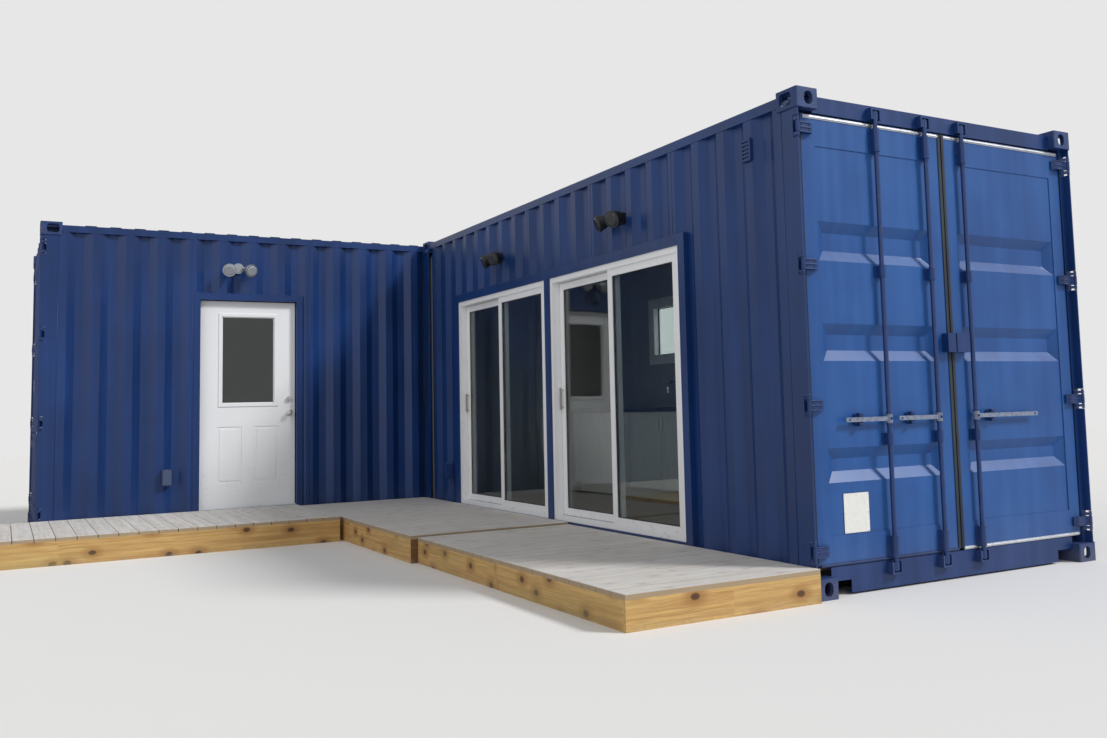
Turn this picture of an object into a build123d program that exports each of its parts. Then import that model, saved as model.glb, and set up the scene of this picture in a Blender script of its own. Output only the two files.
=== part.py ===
from build123d import *
import os

os.makedirs("parts", exist_ok=True)

# Container shell
shell_length = 6058
shell_width = 2438
shell_height = 2896
half_width = shell_width / 2
casting_length = 178
casting_width = 162
casting_height = 118
casting_wall = 28
casting_back = 12
slot_from_end = 102.5
slot_from_side = 89.5
slot_length = 124
slot_width = 63.5
side_hole_length = 101.5
side_hole_height = 79.5
post_end = 150
post_front = 50
post_lip = 8
blade_half = 30
lug_gap = 6
lug_plate = 18
pin_end = 6
lug_notch = blade_half + lug_gap + lug_plate + 2 * pin_end
skin_inset = 8
skin_sheet = 2
wave_pitch = 278
wave_flat = 72
wave_slope = 68
wave_depth = 36
skin_inner = skin_inset + wave_depth + skin_sheet
rail_bottom = 17
rail_top = 165
rail_web = 4.5
roof_rail_drop = 28
roof_rail_size = 60
roof_rail_high = shell_height - roof_rail_drop
roof_rail_low = roof_rail_high - roof_rail_size
floor_low = 137
roof_pitch = 209
roof_flat = 91
roof_depth = 20
lining_depth = 50
lining_inner = skin_inner + lining_depth
ceiling_drop = 73
ceiling_low = roof_rail_low - ceiling_drop
ceiling_sheet = 30
end_skin = shell_length - skin_inset
cabin_gap = 0.2
main_middle = (shell_length - shell_width) / 2
main_front = -half_width - cabin_gap - shell_length
running_fit = 0.3

# Cargo end
face_plane = 56
leaf_depth = 50
header_depth = 99
header_low = roof_rail_high - header_depth
leaf_gap = 13
leaf_rise = 16
leaf_low = rail_top + leaf_rise
leaf_high = header_low - leaf_gap
leaf_outer = half_width - 72
leaf_inner = 13
seal_width = 6
stile_width = 100
leaf_top_rail = 182
leaf_bottom_rail = 158
leaf_sheet = 3
trough_depth = 38
trough_slope = 62
trough_heights = [(1905, 2135), (1325, 1540), (632, 827)]
panel_step = 5
pin_plane = 14
pin_offset = half_width - 13
pin_radius = 8
barrel_radius = 11
hinge_heights = [leaf_low + 79, 1072, 1874, leaf_high - 89]
rod_plane = 28
rod_radius = 14
rod_inner = 165
rod_outer = 584
rod_low = 104
rod_high = header_low + 59
end_guides = [(leaf_low + 2, leaf_low + 122), (leaf_high - 176, leaf_high - 36)]
middle_guides = [(834, 902), (1822, 1892)]
handle_height = 985
handle_reach = 345
long_handle_reach = 575
catch_reach = 230
long_catch_reach = 145
sill_low = 12
box_low = 1378
box_high = 1496
box_wall = 6
box_front = 6
box_gap = 5
left_box_reach = 73
right_box_reach = 121
keeper_height = 59
keeper_wall = 12
keeper_edge = 6
plate_start = 744
plate_end = 943
plate_low = 340
plate_high = 570
plate_sheet = 2

# Glazed opening of the main cabin, measured from its cargo end
opening_start = 1172
opening_from_end = 884
opening_end = shell_length - opening_from_end
opening_top = 2237
frame_member = 75
frame_sill = 35
mullion_width = 92
unit_width = (opening_end - opening_start - 2 * frame_member - mullion_width) / 2
unit_low = rail_top + frame_sill
unit_high = opening_top - frame_member
jamb_face = 42
track_sill = 34
unit_front = 14
unit_depth = 110
fixed_front = 30
leaf_front = 78
panel_depth = 36
panel_stile = 62
panel_rail = 54
panel_overlap = 62
running_gap = 6
glass_depth = 20

# Window of the main cabin
window_start = 4245
window_end = 5155
window_low = 1610
window_high = 2210
window_face = 45

# Doorway of the wing cabin, measured from its cargo end
doorway_start = 1312
doorway_end = 2342
doorway_top = 2290
doorway_jamb = 58
doorway_head = 64
threshold_top = 212
entry_gap = 7
entry_depth = 45
entry_front = 61
knob_height = 1120
deadbolt_height = 1256

# Deck
wing_deck_top = 212
far_deck_top = 200
near_deck_top = 184
board_depth = 28
board_width = 140
board_gap = 5
board_pitch = board_width + board_gap
main_plane = main_middle - half_width
platform_gap = 40
far_deck_depth = 1296
near_deck_depth = 1246
wing_deck_depth = 1516
wing_deck_overhang = 765
platform_seam = 8
far_board_count = 22
far_deck_left = main_plane - far_deck_depth
near_deck_left = main_plane - near_deck_depth
wing_deck_right = far_deck_left - platform_gap
wing_board_count = int((wing_deck_right + shell_length / 2 + wing_deck_overhang) / board_pitch)
wing_deck_left = wing_deck_right - wing_board_count * board_pitch + board_gap
wing_deck_front = -half_width - wing_deck_depth
far_deck_low = -half_width - far_board_count * board_pitch
near_deck_high = far_deck_low - platform_seam
near_board_count = int((near_deck_high - main_front) / board_pitch) + 1
near_deck_low = near_deck_high - near_board_count * board_pitch + board_gap
joist_width = 38
joist_low = 20

# Counter
counter_length = 2400
basin_from_end = 1205
basin_length = 500

# Lamps, outlets and vent on the walls
light_rise = 233
wing_light_rise = 247
outlet_clear = 60
outlet_height = 505
wing_outlet_height = 539
wing_outlet_place = 1079
vent_place = 464
vent_drop = 185


def block(x_low, x_high, y_low, y_high, z_low, z_high):
    size = (x_high - x_low, y_high - y_low, z_high - z_low)
    middle = ((x_low + x_high) / 2, (y_low + y_high) / 2, (z_low + z_high) / 2)
    return Pos(*middle) * Box(*size)


def plan_prism(points, z_low, z_high):
    face = make_face(Polyline(*points, close=True))
    return Pos(0, 0, z_low) * extrude(face, amount=z_high - z_low, dir=(0, 0, 1))


def cross_profile(points, y_low, y_high):
    # Points are (x, z) and the profile runs along y
    face = make_face(Plane.XZ * Polyline(*points, close=True))
    return Pos(0, y_low, 0) * extrude(face, amount=y_high - y_low, dir=(0, 1, 0))


def long_profile(points, x_low, x_high):
    # Points are (y, z) and the profile runs along x
    face = make_face(Plane.YZ * Polyline(*points, close=True))
    return Pos(x_low, 0, 0) * extrude(face, amount=x_high - x_low, dir=(1, 0, 0))


def upright(radius, x, y, z_low, z_high):
    return Pos(x, y, (z_low + z_high) / 2) * Cylinder(radius, z_high - z_low)


def both_sides(shape):
    return [shape, mirror(shape, about=Plane.XZ)]


def ends(shape):
    return mirror(shape, about=Plane.YZ.offset(shell_length / 2))


def gather(shapes):
    solids = []
    for shape in shapes:
        solids.extend(shape.solids())
    return Compound(children=solids)


def place_main(shape):
    return Pos(main_middle, main_front, 0) * Rot(0, 0, 90) * shape


def place_wing(shape):
    return Pos(-shell_length / 2, 0, 0) * shape


def save(shape, name):
    export_step(shape, "parts/" + name + ".step")


# Pressed sheet: depth of the fold line at every corner between two ends
def wave_points(start, end, first, pitch, flat, slope, depth):
    places = [start]
    position = first
    while position < end:
        steps = [position, position + flat, position + flat + slope, position + pitch - slope]
        places.extend(step for step in steps if start < step < end)
        position += pitch
    places.append(end)

    def fold(at):
        phase = (at - first) % pitch
        if phase <= flat:
            return 0
        if phase <= flat + slope:
            return depth * (phase - flat) / slope
        if phase <= pitch - slope:
            return depth
        return depth * (pitch - phase) / slope

    return [(at, fold(at)) for at in places]


def side_skin(start, end, z_low, z_high, side):
    fold = wave_points(start, end, post_end, wave_pitch, wave_flat, wave_slope, wave_depth)
    outer = [(at, side * (half_width - skin_inset - depth)) for at, depth in fold]
    inner = [(at, y - side * skin_sheet) for at, y in reversed(outer)]
    return stop_at_castings(plan_prism(outer + inner, z_low, z_high))


def stop_at_castings(shape):
    low = shell_height - casting_height
    edge = half_width - casting_width
    corner = block(0, casting_length, edge, half_width, low, shell_height)
    for side in both_sides(corner):
        shape = shape - side - ends(side)
    return shape


def end_skin_sheet():
    edge = half_width - skin_inset - post_end
    fold = wave_points(-edge, edge, -edge + 12, wave_pitch, wave_flat, wave_slope, wave_depth)
    outer = [(end_skin - depth, at) for at, depth in fold]
    inner = [(x - skin_sheet, at) for x, at in reversed(outer)]
    return stop_at_castings(plan_prism(outer + inner, rail_top, roof_rail_low))


# Corner casting: a hollow block with a slot below and holes in its end and side
def corner_casting():
    side = -half_width
    outer = block(0, casting_length, side, side + casting_width, 0, casting_height)
    outer = fillet(outer.edges().filter_by(Axis.Z).group_by(Axis.X)[0], 9)
    hollow = block(
        casting_wall,
        casting_length - casting_back,
        side + casting_wall,
        side + casting_width - casting_back,
        casting_wall,
        casting_height - casting_back,
    )
    slot_x = slot_from_end
    slot_y = side + slot_from_side
    bottom = Pos(slot_x, slot_y, 0) * extrude(SlotOverall(slot_length, slot_width), 40, both=True)
    end_face = Plane.YZ * SlotOverall(side_hole_height, slot_width, rotation=90)
    end_hole = Pos(0, slot_y, casting_height / 2) * extrude(end_face, 40, both=True)
    side_face = Plane.XZ * RectangleRounded(side_hole_length, side_hole_height, 25)
    side_hole = Pos(slot_x, side, casting_height / 2) * extrude(side_face, 40, both=True)
    return outer - hollow - bottom - end_hole - side_hole


def castings():
    low = both_sides(corner_casting())
    low += [ends(shape) for shape in low]
    high = [mirror(shape, about=Plane.XY.offset(shell_height / 2)) for shape in low]
    return gather(low + high)


# Corner posts: folded door posts with a seal flange, and angle posts at the closed end
def posts():
    low = casting_height
    high = shell_height - casting_height
    outer = half_width - skin_inset
    inner = half_width - 60
    flange = half_width - 84
    fold = [
        (post_lip, outer),
        (post_end, outer),
        (post_end, outer - 8),
        (post_front + 8, outer - 8),
        (post_front + 8, inner + 8),
        (120, inner + 8),
        (120, flange),
        (112, flange),
        (112, inner),
        (post_front, inner),
        (post_front, outer - 8),
        (post_lip, outer - 8),
    ]
    door_post = plan_prism(fold, low, high)
    for height in hinge_heights:
        notch_low = height - lug_notch
        notch_high = height + lug_notch
        door_post -= block(0, post_front, outer - 20, outer, notch_low, notch_high)
    back = end_skin
    angle = [
        (back, outer),
        (back - post_end, outer),
        (back - post_end, outer - 8),
        (back - 8, outer - 8),
        (back - 8, outer - post_end),
        (back, outer - post_end),
    ]
    end_post = plan_prism(angle, low, high)
    return gather(both_sides(door_post) + both_sides(end_post))


# Base: channel rails along the sides and a box rail across the closed end
def bottom_rails():
    outer = half_width - skin_inset
    channel = [
        (outer, rail_bottom),
        (outer, rail_top),
        (outer - 30, rail_top),
        (outer - 30, rail_top - rail_web),
        (outer - rail_web, rail_top - rail_web),
        (outer - rail_web, rail_bottom + rail_web),
        (outer - 48, rail_bottom + rail_web),
        (outer - 48, rail_bottom),
    ]
    side_rail = long_profile(channel, casting_length, shell_length - casting_length)
    edge = half_width - casting_width
    end_rail = block(end_skin - 60, end_skin, -edge, edge, rail_bottom, rail_top)
    end_rail -= block(end_skin - 55, end_skin - 5, -edge, edge, rail_bottom + 5, rail_top - 5)
    return gather(both_sides(side_rail) + [end_rail])


def top_rails():
    outer = half_width - skin_inset
    wall = 4
    start = casting_length
    end = shell_length - casting_length
    tube = block(start, end, outer - roof_rail_size, outer, roof_rail_low, roof_rail_high)
    inner_low = roof_rail_low + wall
    inner_high = roof_rail_high - wall
    tube -= block(start, end, outer - roof_rail_size + wall, outer - wall, inner_low, inner_high)
    edge = half_width - casting_width
    low_x = end_skin - roof_rail_size
    across = block(low_x, end_skin, -edge, edge, roof_rail_low, roof_rail_high)
    across -= block(low_x + wall, end_skin - wall, -edge, edge, inner_low, inner_high)
    return gather(both_sides(tube) + [across])


# Sill: a channel open to the back, notched beside the castings
def door_sill():
    edge = half_width - casting_width
    channel = [
        (face_plane, sill_low),
        (face_plane, rail_top),
        (post_end, rail_top),
        (post_end, rail_top - 8),
        (face_plane + 6, rail_top - 8),
        (face_plane + 6, sill_low + 6),
        (post_end - 40, sill_low + 6),
        (post_end - 40, sill_low),
    ]
    sill = cross_profile(channel, -edge, edge)
    notch = block(0, post_end, edge - 150, edge + 1, 0, 86)
    sill = sill - notch - mirror(notch, about=Plane.XZ)
    return sill


def door_header():
    edge = half_width - casting_width
    tube = block(face_plane, 130, -edge, edge, header_low, roof_rail_high)
    tube -= block(face_plane + 5, 125, -edge, edge, header_low + 5, roof_rail_high - 5)
    flange = block(112, 118, -edge, edge, header_low - 24, header_low)
    return tube + flange


def cross_members():
    outer = half_width - skin_inset - rail_web
    low = rail_bottom + rail_web
    shapes = []
    count = 18
    start = 230
    step = (shell_length - 2 * start - 60) / (count - 1)
    for index in range(count):
        x = start + index * step
        channel = [
            (x, low),
            (x + 45, low),
            (x + 45, low + 4),
            (x + 4, low + 4),
            (x + 4, floor_low - 4),
            (x + 45, floor_low - 4),
            (x + 45, floor_low),
            (x, floor_low),
        ]
        shapes.append(cross_profile(channel, -outer, outer))
    return shapes


def floor():
    edge = half_width - 40
    return block(post_end + 2, end_skin - 62, -edge, edge, floor_low, rail_top)


# Roof: one pressed sheet on the rails, cut round the castings
def roof():
    start = face_plane + 4
    end = end_skin - 4
    first = casting_length + 40
    stop = shell_length - casting_length - 40
    count = int((stop - first) // roof_pitch)
    first += (stop - first - count * roof_pitch) / 2
    slope = (roof_pitch - 2 * roof_flat) / 2
    corners = [(start, 0)]
    for index in range(count):
        x = first + index * roof_pitch + roof_flat / 2
        corners.append((x, 0))
        corners.append((x + slope, roof_depth))
        corners.append((x + slope + roof_flat, roof_depth))
        corners.append((x + 2 * slope + roof_flat, 0))
    corners.append((end, 0))
    low = roof_rail_high
    under = [(x, low + rise) for x, rise in corners]
    over = [(x, z + skin_sheet) for x, z in reversed(under)]
    width = half_width - 90
    edge = half_width - 12
    sheet = cross_profile(under + over, -width, width)
    rim = block(start, end, -edge, edge, low, low + skin_sheet)
    rim -= block(start + 40, end - 40, -width + 2, width - 2, low, low + skin_sheet)
    sheet = sheet + rim
    return stop_at_castings(sheet)


# Lining boards: one panel against each wall, with a joint line at the corners
def lining_panel(start, end, side):
    outer = side * (half_width - skin_inner)
    inner = side * (half_width - lining_inner)
    low_y = min(outer, inner)
    high_y = max(outer, inner)
    return block(start, end, low_y, high_y, rail_top, ceiling_low)


def end_lining():
    edge = half_width - lining_inner - 1.5
    high_x = end_skin - wave_depth - skin_sheet
    return block(high_x - lining_depth, high_x, -edge, edge, rail_top, ceiling_low)


def ceiling():
    edge = half_width - 60
    return block(post_end + 2, end_skin - 60, -edge, edge, ceiling_low, ceiling_low + ceiling_sheet)


# Cargo leaf: a tube frame with three pressed troughs in its sheet
def cargo_leaf():
    front = face_plane
    back = face_plane + leaf_depth
    leaf = block(front, back, leaf_inner, leaf_outer, leaf_low, leaf_high)
    field_inner = leaf_inner + stile_width
    field_outer = leaf_outer - stile_width
    field_low = leaf_low + leaf_bottom_rail
    field_high = leaf_high - leaf_top_rail
    field = front + panel_step
    leaf -= block(front, field, field_inner, field_outer, field_low, field_high)
    leaf -= block(field + leaf_sheet, back, field_inner, field_outer, field_low, field_high)
    middle = (field_inner + field_outer) / 2
    width = field_outer - field_inner - 8
    for low, high in trough_heights:
        centre = Pos(field, middle, (low + high) / 2)
        leaf += centre * trough(width + 2 * leaf_sheet, high - low + 2 * leaf_sheet, leaf_sheet)
        leaf -= centre * trough(width, high - low, 0)
    return leaf


def trough(width, height, extra):
    mouth = Plane.YZ * Rectangle(width, height)
    floor_size = (width - 2 * trough_slope, height - 2 * trough_slope)
    bed = Plane.YZ.offset(trough_depth + extra) * Rectangle(*floor_size)
    return loft([mouth, bed])


def leaf_seal():
    front = face_plane + 6
    back = face_plane + leaf_depth
    low = leaf_low - seal_width
    high = leaf_high + seal_width
    ring = block(front, back, leaf_inner - seal_width, leaf_outer + seal_width, low, high)
    return ring - block(front, back, leaf_inner, leaf_outer, leaf_low, leaf_high)


# Hinge blade: a barrel on the pin and an arm that turns back to the leaf
def hinge_blade(height):
    low = height - blade_half
    high = height + blade_half
    arm = [
        (pin_plane - 4, pin_offset),
        (pin_plane + barrel_radius, pin_offset + 4),
        (42, pin_offset - 22),
        (42, leaf_outer - 9),
        (face_plane, leaf_outer - 9),
        (face_plane, leaf_outer - 65),
        (46, leaf_outer - 75),
        (27, leaf_outer - 55),
        (27, pin_offset - 20),
    ]
    blade = plan_prism(arm, low, high)
    blade += upright(barrel_radius, pin_plane, pin_offset, low, high)
    return blade - upright(pin_radius + 0.5, pin_plane, pin_offset, low - 1, high + 1)


# Hinge lugs: two plates from the post with the pin through them
def hinge_lugs(height):
    plate = [
        (post_front, half_width - 10),
        (pin_plane, pin_offset + barrel_radius - 0.5),
        (pin_plane - 8, pin_offset + 6),
        (pin_plane - 8, pin_offset - 6),
        (pin_plane, pin_offset - barrel_radius),
        (post_front, half_width - 46),
    ]
    near = blade_half + lug_gap
    far = near + lug_plate
    pin_half = far + pin_end
    lug = plan_prism(plate, height + near, height + far)
    lug += plan_prism(plate, height - far, height - near)
    return lug + upright(pin_radius, pin_plane, pin_offset, height - pin_half, height + pin_half)


# Lock rod: a pipe with a cam at each end and a flat handle on a hub
def lock_rod(y, handle_side, reach):
    rod = upright(rod_radius, rod_plane, y, rod_low, rod_high)
    for low in (rod_low + 4, rod_high - 50):
        cam = block(rod_plane - 10, rod_plane + 10, y - 21, y + 21, low, low + 46)
        cam = fillet(cam.edges().filter_by(Axis.Z), 7)
        rod += cam
    rod += upright(rod_radius + 6, rod_plane, y, handle_height - 32, handle_height + 32)
    tip = y + handle_side * reach
    grip = block(18, 28, min(y, tip), max(y, tip), handle_height - 13, handle_height + 13)
    grip = fillet(grip.edges().filter_by(Axis.X), 9)
    return rod + grip


# Rod guides: long sleeves at the leaf's head and foot, short ones on the pressed field
def rod_guides(y):
    shapes = [rod_guide(y, low, high, face_plane) for low, high in end_guides]
    field = face_plane + panel_step
    return shapes + [rod_guide(y, low, high, field) for low, high in middle_guides]


def rod_guide(y, low, high, seat):
    wall = 7
    foot = block(seat - 8, seat, y - 36, y + 36, low, high)
    foot = fillet(foot.edges().filter_by(Axis.X), 10)
    sleeve = upright(rod_radius + wall, rod_plane, y, low, high)
    sleeve += block(rod_plane, seat, y - rod_radius - wall, y + rod_radius + wall, low, high)
    return foot + sleeve - upright(rod_radius + running_fit, rod_plane, y, low - 1, high + 1)


def handle_catch(y):
    disc = Plane.YZ.offset(38) * Pos(y, handle_height) * Circle(38)
    plate = extrude(disc, face_plane + panel_step - 38)
    for low in (handle_height + 19, handle_height - 37):
        plate += block(16, 40, y - 16, y + 16, low, low + 18)
    return plate


# Lock box: a hood open at its foot, in two halves that part with the leaves
def lock_box_half(reach):
    front = box_front + box_wall
    box = block(box_front, face_plane, box_gap, reach, box_low, box_high)
    box = fillet(box.edges().filter_by(Axis.X), 5)
    return box - block(front, face_plane, box_gap - 1, reach - box_wall, box_low, box_high - box_wall)


# Cam keeper: two cheeks joined beyond the end of the rod
def cam_keeper(y, top):
    cheek_low = header_low + keeper_edge if top else rail_top - 8 - keeper_height
    cheek_high = cheek_low + keeper_height
    bridge_low = cheek_high if top else cheek_low - keeper_wall
    bridge_high = bridge_low + keeper_wall
    keeper = block(14, face_plane, y - 41, y + 41, cheek_low, cheek_high)
    keeper -= block(0, face_plane, y - 28, y + 28, cheek_low, cheek_high)
    return keeper + block(14, face_plane, y - 41, y + 41, bridge_low, bridge_high)


# Opening frame of the main cabin: outer ring with a post between its two bays
def opening_frame():
    outer = half_width - 4
    inner = half_width - lining_inner
    frame = block(opening_start, opening_end, inner, outer, rail_top, opening_top)
    for start in unit_starts():
        frame -= block(start, start + unit_width, inner, outer, unit_low, unit_high)
    return frame


def unit_starts():
    first = opening_start + frame_member
    return [first, first + unit_width + mullion_width]


def unit_slab(start, end, front, depth, low, high):
    outer = half_width - front
    return block(start, end, outer - depth, outer, low, high)


def patio_frame(start):
    end = start + unit_width
    ring = unit_slab(start, end, unit_front, unit_depth, unit_low, unit_high)
    bay_low = unit_low + track_sill
    bay_high = unit_high - jamb_face
    bay_start = start + jamb_face
    bay_end = end - jamb_face
    ring -= unit_slab(bay_start, bay_end, unit_front, unit_depth, bay_low, bay_high)
    # Outer lip of the sill and the rail that the rollers run on
    lip = unit_slab(start, end, unit_front, 6, unit_low, bay_low + 8)
    track = unit_slab(bay_start, bay_end, 92, 8, bay_low, bay_low + 4)
    return ring + lip + track


def panel_span():
    bay = unit_width - 2 * jamb_face
    return (bay + panel_overlap) / 2


def panel_ring(start, end, front, low, high):
    ring = unit_slab(start, end, front, panel_depth, low, high)
    inner_low = low + panel_rail
    inner_high = high - panel_rail
    inner_start = start + panel_stile
    inner_end = end - panel_stile
    return ring - unit_slab(inner_start, inner_end, front, panel_depth, inner_low, inner_high)


def panel_glass(start, end, front, low, high):
    inset = front + (panel_depth - glass_depth) / 2
    inner_start = start + panel_stile
    inner_end = end - panel_stile
    inner_low = low + panel_rail
    inner_high = high - panel_rail
    return unit_slab(inner_start, inner_end, inset, glass_depth, inner_low, inner_high)


def fixed_limits(start):
    low = unit_low + track_sill
    high = unit_high - jamb_face
    first = start + jamb_face
    return first, first + panel_span(), fixed_front, low, high


def sliding_limits(start):
    low = unit_low + track_sill + running_gap
    high = unit_high - jamb_face - running_gap
    last = start + unit_width - jamb_face - running_gap
    return last - panel_span() + running_gap, last, leaf_front, low, high


# Rollers under a sliding panel, standing on the track
def patio_rollers(start):
    first, last, front, low, high = sliding_limits(start)
    shapes = []
    y = half_width - 96
    for x in (first + 110, last - 110):
        disc = Plane.XZ * Circle(12)
        wheel = Pos(x, y, low + 10) * extrude(disc, 4, both=True)
        shapes.append(wheel)
    return shapes


def pull_handle(start):
    first, last, front, low, high = sliding_limits(start)
    x = last - panel_stile / 2
    face = half_width - front
    middle = 1170
    grip = unit_slab(x - 9, x + 9, front - 34, 12, middle - 90, middle + 90)
    grip = fillet(grip.edges().filter_by(Axis.Y), 6)
    for z in (middle - 72, middle + 72):
        grip += Pos(x, face + 12, z) * Rot(90, 0, 0) * Cylinder(7, 24)
    return grip


def window_ring():
    return window_slab(window_start, window_end, 2, 108, window_low, window_high) - window_slab(
        window_start + window_face,
        window_end - window_face,
        2,
        108,
        window_low + window_face,
        window_high - window_face,
    )


def window_slab(start, end, front, back, low, high):
    return block(start, end, -half_width + front, -half_width + back, low, high)


def window_pane():
    edge = window_face
    start = window_start + edge
    end = window_end - edge
    return window_slab(start, end, 26, 46, window_low + edge, window_high - edge)


# Entry door of the wing cabin
def entry_slab(start, end, front, back, low, high):
    return block(start, end, -half_width + front, -half_width + back, low, high)


def entry_frame():
    inner_high = doorway_top - doorway_head
    frame = entry_slab(doorway_start, doorway_end, 4, 106, rail_top, doorway_top)
    bay_start = doorway_start + doorway_jamb
    bay_end = doorway_end - doorway_jamb
    frame -= entry_slab(bay_start, bay_end, 4, 106, threshold_top, inner_high)
    x, y = entry_pin()
    for z in entry_hinge_heights():
        for low, high in ((z - 50, z - 30 - running_fit), (z + 30 + running_fit, z + 50)):
            frame += upright(6, x, y, low, high) + block(x - 30, x, y - 6.5, y - 3.5, low, high)
    return frame


def entry_pin():
    start, end, low, high = entry_limits()
    return start - 3.5, -half_width + entry_front + entry_depth + 6.5


def entry_hinge_heights():
    start, end, low, high = entry_limits()
    return low + 180, (low + high) / 2, high - 180


def entry_limits():
    start = doorway_start + doorway_jamb + entry_gap
    end = doorway_end - doorway_jamb - entry_gap
    return start, end, threshold_top + entry_gap, doorway_top - doorway_head - entry_gap


def entry_leaf():
    start, end, low, high = entry_limits()
    middle = (start + end) / 2
    front = entry_front
    back = entry_front + entry_depth
    leaf = entry_slab(start, end, front, back, low, high)
    lite_low = high - 1000
    lite_high = high - 150
    ring = entry_slab(middle - 285, middle + 285, front - 8, back + 8, lite_low - 35, lite_high + 35)
    leaf += chamfer(ring.edges().group_by(Axis.Y)[0], 7)
    leaf -= entry_slab(middle - 250, middle + 250, front - 20, back + 20, lite_low, lite_high)
    for side in (-1, 1):
        centre = middle + side * 175
        groove = entry_slab(centre - 115, centre + 115, front, front + 5, low + 235, low + 775)
        groove -= entry_slab(centre - 92, centre + 92, front, front + 5, low + 258, low + 752)
        leaf -= groove
    return leaf


def entry_pane():
    start, end, low, high = entry_limits()
    middle = (start + end) / 2
    return entry_slab(middle - 250, middle + 250, 74, 93, high - 1000, high - 150)


# Knob and deadbolt: turned pieces on both faces of the leaf
def entry_hardware():
    start, end, low, high = entry_limits()
    x = end - 62
    outside = -half_width + entry_front
    inside = outside + entry_depth
    profile = [(0, 0), (32, 0), (32, 6), (12, 12), (12, 30), (26, 38), (28, 50), (20, 60), (0, 62)]
    knob = revolve(make_face(Plane.XZ * Polyline(*profile, close=True)), Axis.Z)
    rose = Pos(0, 0, 9) * Cylinder(27, 18)
    shapes = []
    for base, turn in ((outside, 90), (inside, -90)):
        shapes.append(Pos(x, base, knob_height) * Rot(turn, 0, 0) * knob)
        shapes.append(Pos(x, base, deadbolt_height) * Rot(turn, 0, 0) * rose)
    pin_x, pin_y = entry_pin()
    for z in entry_hinge_heights():
        knuckle = upright(6, pin_x, pin_y, z - 30, z + 30)
        shapes.append(knuckle + block(pin_x, start + 30, inside, inside + 3, z - 30, z + 30))
    return shapes


# Lamp: two round heads on short arms over a wall plate
def twin_light(packing):
    plate = Rot(-90, 0, 0) * Cylinder(52, 20)
    lamp = Pos(0, 10, 0) * plate
    if packing:
        lamp += block(-32, 32, -packing, 0, -40, 40)
    for side in (-1, 1):
        neck = Pos(side * 45, 42, 0) * Rot(-90, 0, side * 35) * Cylinder(11, 80)
        face = Plane.XZ * Circle(44)
        head_face = Plane.XZ.offset(-75) * Circle(62)
        head = loft([face, head_face])
        head = Pos(side * 82, 60, -8) * Rot(-22, 0, -side * 18) * head
        lamp = lamp + neck + head
    return lamp


def outlet_box(packing):
    box = block(-42, 42, 0, 48, -75, 75)
    box = fillet(box.edges().filter_by(Axis.Y), 10)
    if packing:
        box += block(-32, 32, -packing, 0, -60, 60)
    return box + block(-36, 36, 48, 62, -66, 66)


# Deck platforms: boards along one axis on joists along the other, with rim boards outside
def deck_boards(x_low, x_high, y_low, y_high, top, along_y):
    low = top - board_depth
    if along_y:
        count = round((x_high - x_low + board_gap) / board_pitch)
        starts = [x_low + index * board_pitch for index in range(count)]
        return [block(x, x + board_width, y_low, y_high, low, top) for x in starts]
    count = round((y_high - y_low + board_gap) / board_pitch)
    starts = [y_low + index * board_pitch for index in range(count)]
    return [block(x_low, x_high, y, y + board_width, low, top) for y in starts]


def deck_joists(x_low, x_high, y_low, y_high, top, along_y):
    high = top - board_depth
    first = (y_low if along_y else x_low) + board_depth
    last = (y_high if along_y else x_high) - joist_width
    places = [first + index * (last - first) / 3 for index in range(4)]
    if along_y:
        start, end = x_low + board_depth, x_high - board_depth
        return [block(start, end, y, y + joist_width, joist_low, high) for y in places]
    return [block(x, x + joist_width, y_low + board_depth, y_high, joist_low, high) for x in places]


def deck_front(x_low, x_high, y_low, y_high, top):
    return block(x_low, x_high, y_low, y_low + board_depth, 0, top - board_depth)


def deck_side(x_low, x_high, y_low, y_high, top):
    return block(x_low, x_low + board_depth, y_low + board_depth, y_high, 0, top - board_depth)


def vent_cover():
    cover = block(-45, 45, 0, 20, -68, 68)
    for z in range(-48, 49, 24):
        cover -= block(-34, 34, 12, 21, z - 5, z + 5)
    return cover


# Main cabin: its side with the glazed opening faces -X
def main_side(shape, along, height):
    # The fitting's back lies on the wall and its front looks out
    y = half_width - skin_inset
    return place_main(Pos(along, y, height) * shape)


def wing_side(shape, x, height):
    return Pos(x, -half_width + skin_inset, height) * Rot(0, 0, 180) * shape


save(gather([place_main(castings()), place_wing(castings())]), "corner_castings")
save(gather([place_main(posts()), place_wing(posts())]), "corner_posts")
rails = [bottom_rails(), top_rails()]
rail_set = [place_main(shape) for shape in rails] + [place_wing(shape) for shape in rails]
save(gather(rail_set), "frame_rails")
save(gather([place_main(door_sill()), place_wing(door_sill())]), "door_sills")
save(gather([place_main(door_header()), place_wing(door_header())]), "door_headers")
members = cross_members()
member_set = [place_main(shape) for shape in members]
member_set += [place_wing(shape) for shape in members]
save(gather(member_set), "cross_members")
save(gather([place_main(floor()), place_wing(floor())]), "floors")
save(gather([place_main(roof()), place_wing(roof())]), "roofs")
save(gather([place_main(ceiling()), place_wing(ceiling())]), "ceilings")

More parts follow.
